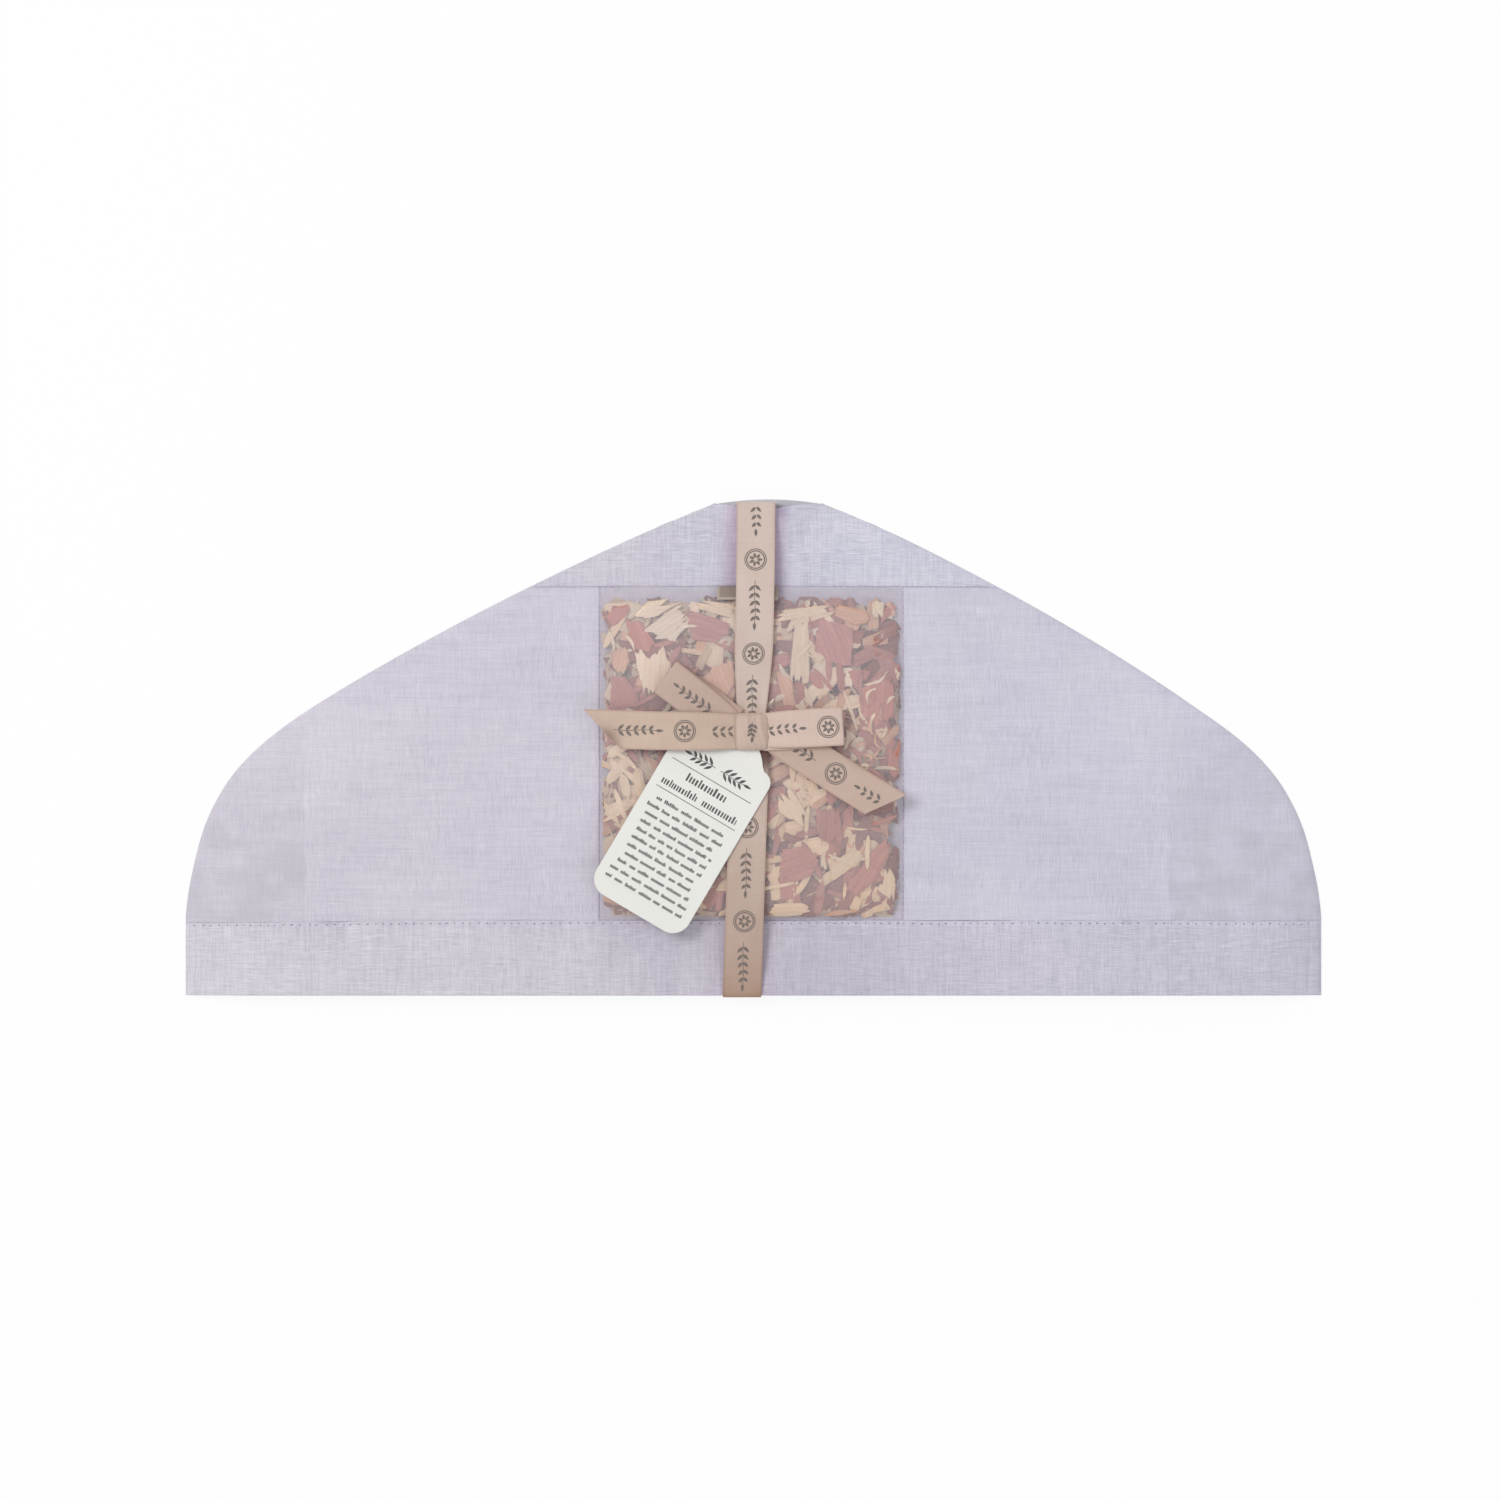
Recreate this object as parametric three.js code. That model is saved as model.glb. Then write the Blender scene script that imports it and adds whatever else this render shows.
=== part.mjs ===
import * as THREE from 'three';

// Linen hanger cover with a cedar-filled silk window, tied with a ribbon and lying on its back.
// Millimetres. +X runs to the right shoulder, +Y to the hook opening, +Z out of the front.
// The origin is the middle of the footprint, on the surface that the cover lies on.

// Cover
const coverWidth = 457;
const coverHeight = 199.5;
const linenThickness = 0.6;
const hemThickness = 0.9;
const layerClearance = 0.3;
const seamClearance = 0.3;
const openDepth = 6;
const seamRollWidth = 45;
const apexShift = 6;
const yokeDepth = 35.3;
const hemDepth = 30.2;

// Hook opening
const hookOpeningWidth = 43;
const hookOpeningGape = 6.4;
const hookOpeningBlend = 28;
const neckDrop = 1.9;

// Side facings
const leftFacingWidth = 48.5;
const rightFacingWidth = 62.5;
const facingHeight = 78;
const facingThickness = 0.4;
const facingInset = 4.5;

// Sachet pocket
const windowWidth = 121.9;
const windowShift = -0.8;
const pocketHeadroom = 3.8;
const liningThickness = 0.5;
const silkThickness = 0.3;
const pillowRise = 7;
const pillowSquareness = 6;
const fillMargin = 8;
const fillHeightShare = 0.42;
const chipThickness = 1.1;
const chipDepthBelowSilk = 0.7;

// Woven label in the yoke seam
const labelWidth = 24.5;
const labelLength = 6.4;
const labelThickness = 0.4;
const labelShift = -2.4;

// Ribbon
const ribbonWidth = 15.4;
const ribbonThickness = 0.4;
const ribbonPinchedWidth = 8.8;
const ribbonPinchLength = 34;
const ribbonTopX = 1;
const ribbonKnotX = -1.2;
const ribbonHemX = -4.6;
const throatRadius = 1.4;
const slideLeft = 4;
const slideRight = 12;

// Bow
const knotWidth = 15.3;
const knotLength = 14.9;
const knotHeight = 4.4;
const knotEdgeShare = 0.45;
const knotSquareness = 4;
const knotX = -0.6;
const knotBelowTop = 93.5;
const rootHeight = 1.5;
const rightTailRootHeight = 0.6;
const foldRadius = 1;
const loopBulge = 0.9;
const loopRootGap = 0.8;
const leftTailReach = 60;
const leftTailCut = 15.3;
const rightTailReach = 63.5;
const rightTailCut = 10.2;
const tailClearance = 0.9;
const tipLift = 1.6;
const leftLoopReach = 37.5;
const rightLoopReach = 36.6;
const leftLoopShift = -4.5;
const rightTailLift = 5;

// Hang tag
const tagWidth = 42.9;
const tagBodyLength = 75.2;
const tagThickness = 0.5;
const tagFootRadius = 7.5;
const tagShoulderRadius = 5;
const tagEarWidth = 29.4;
const tagEarRise = 8;
const tagHoleRadius = 2;
const tagHoleBelowTop = 3.8;
const tagHoleX = -6.8;
const tagHoleBelowKnot = 2.7;

// Directions in plan, in degrees from +X
const tagTurn = -30.6;
const leftTailAngle = 178.9;
const rightLoopAngle = 3.5;
const leftLoopAngle = 144;
const rightTailAngle = -32.5;

// Half width of the cover against height, both as shares, from the hem's edge to the shoulders
const flankShares = [
  [0, 1], [0.151, 1], [0.212, 0.994], [0.272, 0.983], [0.333, 0.9685], [0.3935, 0.945],
  [0.4536, 0.91], [0.514, 0.8565], [0.575, 0.7834], [0.696, 0.6136], [0.817, 0.421],
  [0.938, 0.205], [0.968, 0.1444],
];
// The stretch of the height over which the outline leans towards its shifted apex
const leanShares = [0.575, 0.938];

// Places worked out from the sizes
const turnProud = layerClearance + ribbonThickness;
const bottomY = (turnProud - coverHeight) / 2;
const topY = bottomY + coverHeight;
const neckY = topY - neckDrop;
const yokeSeamY = topY - yokeDepth;
const hemSeamY = bottomY + hemDepth;
const windowLeftX = windowShift - windowWidth / 2;
const windowRightX = windowShift + windowWidth / 2;
const pocketTopY = yokeSeamY - pocketHeadroom;
const pocketMiddleY = (pocketTopY + hemSeamY) / 2;
const pocketHalfHeight = (pocketTopY - hemSeamY) / 2;
const openingX = apexShift;
const seamHeight = hemThickness + layerClearance;
const knotY = topY - knotBelowTop;

// The outline of the cover
const flankCurve = new THREE.CubicInterpolant(
  [...flankShares.map(([height]) => height * coverHeight), coverHeight - neckDrop],
  [...flankShares.map(([, width]) => width * coverWidth / 2), hookOpeningWidth / 2],
  1,
  new Float64Array(1),
);

function flankX(side, y) {
  const [leanStart, leanEnd] = leanShares;
  const share = ((y - bottomY) / coverHeight - leanStart) / (leanEnd - leanStart);
  const halfWidth = Math.min(flankCurve.evaluate(y - bottomY)[0], coverWidth / 2);
  return apexShift * THREE.MathUtils.clamp(share, 0, 1) + side * halfWidth;
}

const seamSteps = 36;
const seamLines = [-1, 1].map((side) => Array.from({ length: seamSteps + 1 }, (_, step) => {
  const y = THREE.MathUtils.lerp(bottomY, neckY, step / seamSteps);
  return new THREE.Vector3(flankX(side, y), y, 0);
}));

function distanceToSeam(x, y) {
  const point = new THREE.Vector3(x, y, 0);
  const nearest = new THREE.Vector3();
  const distances = seamLines.flatMap((line) => line.slice(1).map((end, step) => {
    new THREE.Line3(line[step], end).closestPointToPoint(point, true, nearest);
    return nearest.distanceTo(point);
  }));
  return Math.min(...distances);
}

// How far the front stands off the sewn edge: it rolls up from the seam and gapes at the hook opening
function loftAt(x, y) {
  const inside = Math.min(distanceToSeam(x, y) / seamRollWidth, 1);
  const roll = openDepth * (1 - (1 - inside) ** 2);
  const across = (x - openingX) / (hookOpeningWidth / 2);
  const gape = hookOpeningGape * Math.max(1 - across ** 2, 0);
  const nearOpening = THREE.MathUtils.smoothstep(y, neckY - hookOpeningBlend, neckY);
  return roll + nearOpening * Math.max(gape - roll, 0);
}

const frontLowerAt = (x, y) => seamHeight + loftAt(x, y);
const frontUpperAt = (x, y) => frontLowerAt(x, y) + linenThickness;
const hemUpperAt = (x, y) => frontLowerAt(x, y) + hemThickness;
const liningUpperAt = (x, y) => frontLowerAt(x, y) + liningThickness;

// The pillow of the pocket has a flat crown and steep rounded sides
function pillowAt(x, y) {
  const sideAt = (share) => Math.sqrt(Math.max(1 - Math.abs(share) ** pillowSquareness, 0));
  const across = sideAt((x - windowShift) / (windowWidth / 2));
  return pillowRise * across * sideAt((y - pocketMiddleY) / pocketHalfHeight);
}

const silkLowerAt = (x, y) => liningUpperAt(x, y) + layerClearance + pillowAt(x, y);
const silkUpperAt = (x, y) => silkLowerAt(x, y) + silkThickness;

// Top of the cover anywhere in plan
function coverTopAt(x, y) {
  if (y < hemSeamY) {
    return hemUpperAt(x, y);
  }
  const inWindow = y < yokeSeamY && x > windowLeftX && x < windowRightX;
  return inWindow ? silkUpperAt(x, y) : frontUpperAt(x, y);
}

// A closed sheet over a grid of plan points, between a lower and an upper height
function sheetGeometry(columns, rows, planAt, lowerAt, upperAt) {
  const positions = [];
  const indices = [];
  for (const heightAt of [lowerAt, upperAt]) {
    for (let row = 0; row <= rows; row += 1) {
      for (let column = 0; column <= columns; column += 1) {
        const [x, y] = planAt(column / columns, row / rows);
        positions.push(x, y, heightAt(x, y));
      }
    }
  }
  const upper = (columns + 1) * (rows + 1);
  const at = (column, row) => row * (columns + 1) + column;
  for (let row = 0; row < rows; row += 1) {
    for (let column = 0; column < columns; column += 1) {
      const a = at(column, row);
      const b = at(column + 1, row);
      const c = at(column + 1, row + 1);
      const d = at(column, row + 1);
      indices.push(a, c, b, a, d, c);
      indices.push(a + upper, b + upper, c + upper, a + upper, c + upper, d + upper);
    }
  }
  const rim = [];
  for (let column = 0; column < columns; column += 1) {
    rim.push(at(column, 0));
  }
  for (let row = 0; row < rows; row += 1) {
    rim.push(at(columns, row));
  }
  for (let column = columns; column > 0; column -= 1) {
    rim.push(at(column, rows));
  }
  for (let row = rows; row > 0; row -= 1) {
    rim.push(at(0, row));
  }
  rim.forEach((p, step) => {
    const q = rim[(step + 1) % rim.length];
    indices.push(p, q, q + upper, p, q + upper, p + upper);
  });
  return indexedGeometry(positions, indices);
}

function indexedGeometry(positions, indices) {
  const geometry = new THREE.BufferGeometry();
  geometry.setAttribute('position', new THREE.Float32BufferAttribute(positions, 3));
  geometry.setIndex(indices);
  geometry.computeVertexNormals();
  return geometry;
}

// A flat strap that follows a path of [along, up] points.
// Its far end is cut on a slant, longer on one side.
const cutShare = 0.04;
function strapGeometry(path, width, endCut = 0) {
  const positions = [];
  const indices = [];
  const cutStart = path.at(-1)[0] - Math.abs(endCut);
  path.forEach(([along, up], step) => {
    const before = path[Math.max(step - 1, 0)];
    const after = path[Math.min(step + 1, path.length - 1)];
    const length = Math.hypot(after[0] - before[0], after[1] - before[1]);
    const normal = [(before[1] - after[1]) / length, (after[0] - before[0]) / length];
    for (const [side, face] of [[1, 1], [-1, 1], [-1, 0], [1, 0]]) {
      const shortSide = endCut !== 0 && along > cutStart && side !== Math.sign(endCut);
      const place = shortSide ? cutStart + (along - cutStart) * cutShare : along;
      positions.push(
        place + face * normal[0] * ribbonThickness,
        side * width / 2,
        (shortSide ? heightOn(path, place) : up) + face * normal[1] * ribbonThickness,
      );
    }
  });
  const last = (path.length - 1) * 4;
  for (let ring = 0; ring < last; ring += 4) {
    for (let corner = 0; corner < 4; corner += 1) {
      const next = (corner + 1) % 4;
      indices.push(ring + corner, ring + next, ring + 4 + next);
      indices.push(ring + corner, ring + 4 + next, ring + 4 + corner);
    }
  }
  indices.push(0, 3, 2, 0, 2, 1);
  indices.push(last, last + 1, last + 2, last, last + 2, last + 3);
  return indexedGeometry(positions, indices);
}

// The taut line over a list of [along, up] points
function tautLine(points) {
  const hull = [];
  for (const point of points) {
    while (hull.length > 1) {
      const [a, b] = hull.slice(-2);
      const turn = (b[0] - a[0]) * (point[1] - a[1]) - (b[1] - a[1]) * (point[0] - a[0]);
      if (turn < 0) {
        break;
      }
      hull.pop();
    }
    hull.push(point);
  }
  return hull;
}

function heightOn(line, along) {
  const next = Math.max(line.findIndex(([place]) => place >= along), 1);
  const [a, b] = [line[next - 1], line[next]];
  return THREE.MathUtils.mapLinear(along, a[0], b[0], a[1], b[1]);
}

const materials = {
  linen: { color: 0xccc6d6, roughness: 0.9 },
  yokeLinen: { color: 0xcac5d3, roughness: 0.9 },
  lining: { color: 0xc4bfd0, roughness: 0.9 },
  silk: { color: 0xd9cdd2, roughness: 0.45 },
  label: { color: 0x9b9489, roughness: 0.8 },
  ribbon: { color: 0xccb2a6, roughness: 0.4 },
  card: { color: 0xe9e8e3, roughness: 0.7 },
  redCedar: { color: 0xa8797a, roughness: 0.8 },
  paleCedar: { color: 0xe0cdb3, roughness: 0.8 },
  warmCedar: { color: 0xcf9d76, roughness: 0.8 },
};

const cover = new THREE.Group();
const tie = new THREE.Group();
const hangTag = new THREE.Group();

function addPiece(parent, name, geometry, look) {
  const material = new THREE.MeshStandardMaterial({ metalness: 0, ...materials[look] });
  const mesh = new THREE.Mesh(geometry, material);
  mesh.name = name;
  parent.add(mesh);
  return mesh;
}

// A band of the cover between two heights, from flank to flank unless its edges are given
function bandPlan(lowY, highY, leftAt = (y) => flankX(-1, y), rightAt = (y) => flankX(1, y)) {
  return (across, up) => {
    const y = THREE.MathUtils.lerp(lowY, highY, up);
    return [THREE.MathUtils.lerp(leftAt(y), rightAt(y), across), y];
  };
}

// Flat piece of the back, with the neckline bowed between the ends of the hook opening
function backGeometry(lowY, highY, bow, thickness) {
  const steps = 24;
  const edge = (side, from, to) => Array.from({ length: steps + 1 }, (_, step) => {
    const y = THREE.MathUtils.lerp(from, to, step / steps);
    return new THREE.Vector2(flankX(side, y), y);
  });
  const bowSteps = bow > 0 ? 8 : 1;
  const neckline = Array.from({ length: bowSteps - 1 }, (_, step) => {
    const across = 1 - 2 * (step + 1) / bowSteps;
    return new THREE.Vector2(openingX + across * hookOpeningWidth / 2, highY + bow * (1 - across ** 2));
  });
  const outline = [...edge(1, lowY, highY), ...neckline, ...edge(-1, highY, lowY)];
  return new THREE.ExtrudeGeometry(new THREE.Shape(outline), { depth: thickness, bevelEnabled: false });
}

const halfSeam = seamClearance / 2;
const flatFloor = () => 0;

addPiece(
  cover, 'back_panel',
  backGeometry(hemSeamY + halfSeam, neckY, neckDrop, linenThickness), 'linen',
);
addPiece(
  cover, 'back_hem_band',
  sheetGeometry(1, 1, bandPlan(bottomY, hemSeamY - halfSeam), flatFloor, () => hemThickness), 'linen',
);
addPiece(
  cover, 'front_yoke',
  sheetGeometry(26, 8, bandPlan(yokeSeamY + halfSeam, neckY), frontLowerAt, frontUpperAt), 'yokeLinen',
);
addPiece(
  cover, 'front_left_panel',
  sheetGeometry(
    14, 14, bandPlan(hemSeamY + halfSeam, yokeSeamY - halfSeam, undefined, () => windowLeftX - halfSeam),
    frontLowerAt, frontUpperAt,
  ), 'linen',
);
addPiece(
  cover, 'front_right_panel',
  sheetGeometry(
    14, 14,
    bandPlan(hemSeamY + halfSeam, yokeSeamY - halfSeam, () => windowRightX + halfSeam, undefined),
    frontLowerAt, frontUpperAt,
  ), 'linen',
);
addPiece(
  cover, 'front_hem_band',
  sheetGeometry(30, 2, bandPlan(bottomY, hemSeamY - halfSeam), frontLowerAt, hemUpperAt), 'yokeLinen',
);

// Inner layers at the sides, which hang just under the front panels
function addFacing(name, leftAt, rightAt) {
  const upperAt = (x, y) => frontLowerAt(x, y) - layerClearance;
  const lowerAt = (x, y) => upperAt(x, y) - facingThickness;
  const plan = bandPlan(hemSeamY + halfSeam, hemSeamY + facingHeight, leftAt, rightAt);
  addPiece(cover, name, sheetGeometry(6, 8, plan, lowerAt, upperAt), 'lining');
}

addFacing('left_side_facing', (y) => flankX(-1, y) + facingInset, () => leftFacingWidth - coverWidth / 2);
addFacing('right_side_facing', () => coverWidth / 2 - rightFacingWidth, (y) => flankX(1, y) - facingInset);

// Sachet pocket: lining, filling, chips and silk
function windowPlan(margin, highY = yokeSeamY) {
  const spread = (share) => Math.sin((share - 0.5) * Math.PI) / 2 + 0.5;
  return (across, up) => [
    THREE.MathUtils.lerp(windowLeftX + margin, windowRightX - margin, spread(across)),
    THREE.MathUtils.lerp(hemSeamY + margin, highY - margin, spread(up)),
  ];
}

addPiece(
  cover, 'window_lining',
  sheetGeometry(10, 10, windowPlan(halfSeam), frontLowerAt, liningUpperAt), 'lining',
);
addPiece(
  cover, 'silk_window',
  sheetGeometry(20, 22, windowPlan(halfSeam), silkLowerAt, silkUpperAt), 'silk',
);
const fillLowerAt = (x, y) => liningUpperAt(x, y) + layerClearance;
const fillUpperAt = (x, y) => fillLowerAt(x, y) + fillHeightShare * pillowAt(x, y);
addPiece(
  cover, 'cedar_fill',
  sheetGeometry(12, 12, windowPlan(fillMargin, pocketTopY), fillLowerAt, fillUpperAt), 'redCedar',
);

// Large chips under the silk. Each outline is in shares of the pocket, from its lower left corner.
const chipShares = {
  red_1: [[0.022, 0.935], [0.045, 0.907], [0.1, 0.944], [0.09, 0.975], [0.04, 0.965]],
  pale_1: [[0.117, 0.944], [0.145, 0.926], [0.19, 0.938], [0.245, 0.972], [0.215, 0.99], [0.155, 0.98]],
  pale_2: [
    [0.145, 0.893], [0.2, 0.866], [0.25, 0.86], [0.285, 0.91],
    [0.28, 0.955], [0.25, 0.968], [0.19, 0.927],
  ],
  red_2: [[0.09, 0.918], [0.1, 0.85], [0.14, 0.825], [0.185, 0.85], [0.135, 0.885], [0.137, 0.925]],
  pale_3: [
    [0.137, 0.73], [0.16, 0.7], [0.205, 0.715], [0.237, 0.785],
    [0.215, 0.845], [0.165, 0.815], [0.115, 0.83],
  ],
  warm_1: [[0.042, 0.77], [0.08, 0.762], [0.1, 0.8], [0.09, 0.845], [0.042, 0.83]],
  red_3: [[0.04, 0.66], [0.124, 0.655], [0.124, 0.7], [0.084, 0.755], [0.034, 0.755]],
  red_4: [
    [0.29, 0.9], [0.305, 0.865], [0.375, 0.86], [0.42, 0.88],
    [0.425, 0.92], [0.34, 0.945], [0.3, 0.955],
  ],
  pale_4: [[0.33, 0.97], [0.36, 0.955], [0.44, 0.93], [0.447, 0.975], [0.37, 0.985]],
  warm_2: [[0.34, 0.745], [0.37, 0.71], [0.43, 0.66], [0.447, 0.7], [0.44, 0.795], [0.38, 0.785]],
  pale_5: [
    [0.585, 0.92], [0.605, 0.9], [0.65, 0.93], [0.76, 0.935],
    [0.755, 0.97], [0.7, 0.967], [0.6, 0.955],
  ],
  pale_6: [[0.625, 0.742], [0.69, 0.74], [0.69, 0.92], [0.645, 0.92], [0.633, 0.84]],
  red_5: [[0.705, 0.83], [0.78, 0.79], [0.826, 0.785], [0.835, 0.9], [0.725, 0.932]],
  warm_3: [[0.775, 0.94], [0.84, 0.91], [0.885, 0.92], [0.88, 0.955], [0.79, 0.975]],
  pale_7: [[0.895, 0.985], [0.9, 0.935], [0.935, 0.945], [0.94, 0.975]],
  red_6: [[0.855, 0.71], [0.86, 0.64], [0.92, 0.595], [0.97, 0.64], [0.968, 0.73], [0.92, 0.76]],
  pale_8: [[0.58, 0.37], [0.59, 0.335], [0.62, 0.32], [0.665, 0.3], [0.672, 0.345], [0.63, 0.41]],
  red_7: [[0.71, 0.34], [0.72, 0.26], [0.75, 0.24], [0.8, 0.27], [0.79, 0.345]],
  red_8: [[0.59, 0.145], [0.65, 0.12], [0.7, 0.14], [0.72, 0.2], [0.67, 0.23], [0.6, 0.22]],
  pale_9: [[0.765, 0.175], [0.77, 0.12], [0.8, 0.15], [0.848, 0.17], [0.865, 0.205], [0.83, 0.222]],
  red_9: [[0.81, 0.1], [0.85, 0.08], [0.9, 0.12], [0.95, 0.19], [0.945, 0.257], [0.9, 0.22]],
  pale_10: [[0.915, 0.095], [0.97, 0.06], [0.975, 0.125], [0.95, 0.16]],
  pale_11: [[0.565, 0.055], [0.57, 0.012], [0.66, 0.012], [0.68, 0.03], [0.665, 0.055]],
  warm_4: [[0.725, 0.01], [0.79, 0.015], [0.855, 0.026], [0.85, 0.034], [0.78, 0.03]],
};

function chipGeometry(outlineShares) {
  const outline = outlineShares.map(([across, up]) => new THREE.Vector2(
    windowLeftX + across * windowWidth,
    hemSeamY + up * (pocketTopY - hemSeamY),
  ));
  if (THREE.ShapeUtils.isClockWise(outline)) {
    outline.reverse();
  }
  const topAt = ({ x, y }) => silkLowerAt(x, y) - chipDepthBelowSilk;
  const lower = outline.flatMap((point) => [point.x, point.y, topAt(point) - chipThickness]);
  const upper = outline.flatMap((point) => [point.x, point.y, topAt(point)]);
  const count = outline.length;
  const faces = THREE.ShapeUtils.triangulateShape(outline, []);
  const indices = faces.flatMap(([a, b, c]) => [a, c, b, a + count, b + count, c + count]);
  outline.forEach((_, p) => {
    const q = (p + 1) % count;
    indices.push(p, q, q + count, p, q + count, p + count);
  });
  return indexedGeometry([...lower, ...upper], indices);
}

const chipLooks = { red: 'redCedar', pale: 'paleCedar', warm: 'warmCedar' };
for (const [chip, outlineShares] of Object.entries(chipShares)) {
  const [kind] = chip.split('_');
  addPiece(cover, `cedar_chip_${chip}`, chipGeometry(outlineShares), chipLooks[kind]);
}

// Woven label, laid from the yoke seam on to the pillow
const labelSteps = 4;
const labelLine = tautLine(Array.from({ length: labelSteps + 1 }, (_, step) => {
  const along = labelLength * step / labelSteps;
  const heights = [-0.5, 0, 0.5].map((share) => (
    silkUpperAt(labelShift + share * labelWidth, yokeSeamY - along)
  ));
  return [along, Math.max(...heights) + layerClearance];
}));
const labelLowerAt = (x, y) => heightOn(labelLine, yokeSeamY - y);
addPiece(
  cover, 'seam_label',
  sheetGeometry(
    1, labelSteps,
    bandPlan(
      yokeSeamY - labelLength, yokeSeamY - halfSeam,
      () => labelShift - labelWidth / 2, () => labelShift + labelWidth / 2,
    ),
    labelLowerAt, (x, y) => labelLowerAt(x, y) + labelThickness,
  ), 'label',
);

// Ribbon round the front of the cover. It slides in the hook opening, so it clears all that it passes over.
function ribbonCentreX(y) {
  if (y < knotY) {
    return THREE.MathUtils.mapLinear(y, bottomY, knotY, ribbonHemX, ribbonKnotX);
  }
  const drop = (topY - y) / (topY - knotY);
  return ribbonTopX + (ribbonKnotX - ribbonTopX) * drop ** 2;
}

function ribbonWidthAt(y) {
  const pinch = y < knotY ? 0 : 1 - THREE.MathUtils.smoothstep(y, knotY, knotY + ribbonPinchLength);
  return THREE.MathUtils.lerp(ribbonWidth, ribbonPinchedWidth, pinch);
}

// The highest point that lies under a place of the ribbon while it slides in the hook opening
function underSlidingAt(x, y, topAt) {
  const shifts = [-slideLeft, 0, slideRight / 3, 2 * slideRight / 3, slideRight];
  return Math.max(...shifts.map((shift) => topAt(x + shift, y)));
}

const strandSteps = 40;
const strandLine = tautLine(Array.from({ length: strandSteps + 1 }, (_, step) => {
  const y = THREE.MathUtils.lerp(bottomY, neckY, step / strandSteps);
  const heights = [-1, 0, 1].map((share) => (
    underSlidingAt(ribbonCentreX(y) + share * ribbonWidth / 2, y, coverTopAt)
  ));
  return [y, Math.max(...heights) + layerClearance];
}));
const strandLowerAt = (x, y) => heightOn(strandLine, y);
const strandUpperAt = (x, y) => strandLowerAt(x, y) + ribbonThickness;

function ribbonPlan(lowY, highY, widthAt) {
  return bandPlan(
    lowY, highY,
    (y) => ribbonCentreX(y) - widthAt(y) / 2,
    (y) => ribbonCentreX(y) + widthAt(y) / 2,
  );
}

const fullWidth = () => ribbonWidth;
const innerLower = seamHeight;
const innerUpper = innerLower + ribbonThickness;

addPiece(
  tie, 'ribbon_inner_strand',
  sheetGeometry(1, 4, ribbonPlan(bottomY, neckY, fullWidth), () => innerLower, () => innerUpper), 'ribbon',
);
addPiece(
  tie, 'ribbon_front_upper',
  sheetGeometry(
    1, 22, ribbonPlan(knotY + halfSeam, neckY, ribbonWidthAt), strandLowerAt, strandUpperAt,
  ), 'ribbon',
);
addPiece(
  tie, 'ribbon_front_lower',
  sheetGeometry(
    1, 22, ribbonPlan(bottomY, knotY - halfSeam, fullWidth), strandLowerAt, strandUpperAt,
  ), 'ribbon',
);

// The two turns, where the ribbon goes over the neckline and under the hem
function addTurn(name, lowY, edgeY) {
  const [width, depth] = [ribbonWidth, strandUpperAt(0, edgeY) - innerLower];
  const turn = addPiece(tie, name, new THREE.BoxGeometry(width, ribbonThickness, depth), 'ribbon');
  turn.position.set(ribbonCentreX(edgeY), lowY + ribbonThickness / 2, innerLower + depth / 2);
}

addTurn('ribbon_top_turn', neckY + layerClearance, neckY);
addTurn('ribbon_bottom_turn', bottomY - turnProud, bottomY);

// Hang tag, flat on the ribbon
const tagLower = strandUpperAt(0, knotY) + layerClearance;
const tagUpper = tagLower + tagThickness;
const bowBase = tagUpper + layerClearance;
const tagHole = new THREE.Vector2(tagHoleX, knotY - tagHoleBelowKnot);

function tagShape() {
  const half = tagWidth / 2;
  const earHalf = tagEarWidth / 2;
  const earRadius = (earHalf ** 2 + tagEarRise ** 2) / (2 * tagEarRise);
  const earAngle = Math.asin(earHalf / earRadius);
  const shoulder = tagHoleBelowTop - tagEarRise - (half - earHalf - tagShoulderRadius);
  const shoulderCentre = shoulder - tagShoulderRadius;
  const foot = shoulder - tagBodyLength;
  const quarter = Math.PI / 2;
  const shape = new THREE.Shape();
  shape.moveTo(-half + tagFootRadius, foot);
  shape.absarc(half - tagFootRadius, foot + tagFootRadius, tagFootRadius, -quarter, 0);
  shape.absarc(half - tagShoulderRadius, shoulderCentre, tagShoulderRadius, 0, quarter);
  shape.absarc(0, tagHoleBelowTop - earRadius, earRadius, quarter - earAngle, quarter + earAngle);
  shape.absarc(tagShoulderRadius - half, shoulderCentre, tagShoulderRadius, quarter, 2 * quarter);
  shape.absarc(tagFootRadius - half, foot + tagFootRadius, tagFootRadius, 2 * quarter, 3 * quarter);
  shape.closePath();
  shape.holes.push(new THREE.Path().absarc(0, 0, tagHoleRadius, 0, 4 * quarter));
  return shape;
}

const cardForm = { depth: tagThickness, bevelEnabled: false, curveSegments: 7 };
const card = addPiece(hangTag, 'hang_tag', new THREE.ExtrudeGeometry(tagShape(), cardForm), 'card');
card.position.set(tagHole.x, tagHole.y, tagLower);
card.rotation.z = THREE.MathUtils.degToRad(tagTurn);

// Gathered ribbon that passes up through the tag's hole
const throatHeight = tagThickness + layerClearance;
const throat = addPiece(
  tie, 'ribbon_throat',
  new THREE.CylinderGeometry(throatRadius, throatRadius, throatHeight, 12), 'ribbon',
);
throat.rotation.x = Math.PI / 2;
throat.position.set(tagHole.x, tagHole.y, tagLower + throatHeight / 2);

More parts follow.
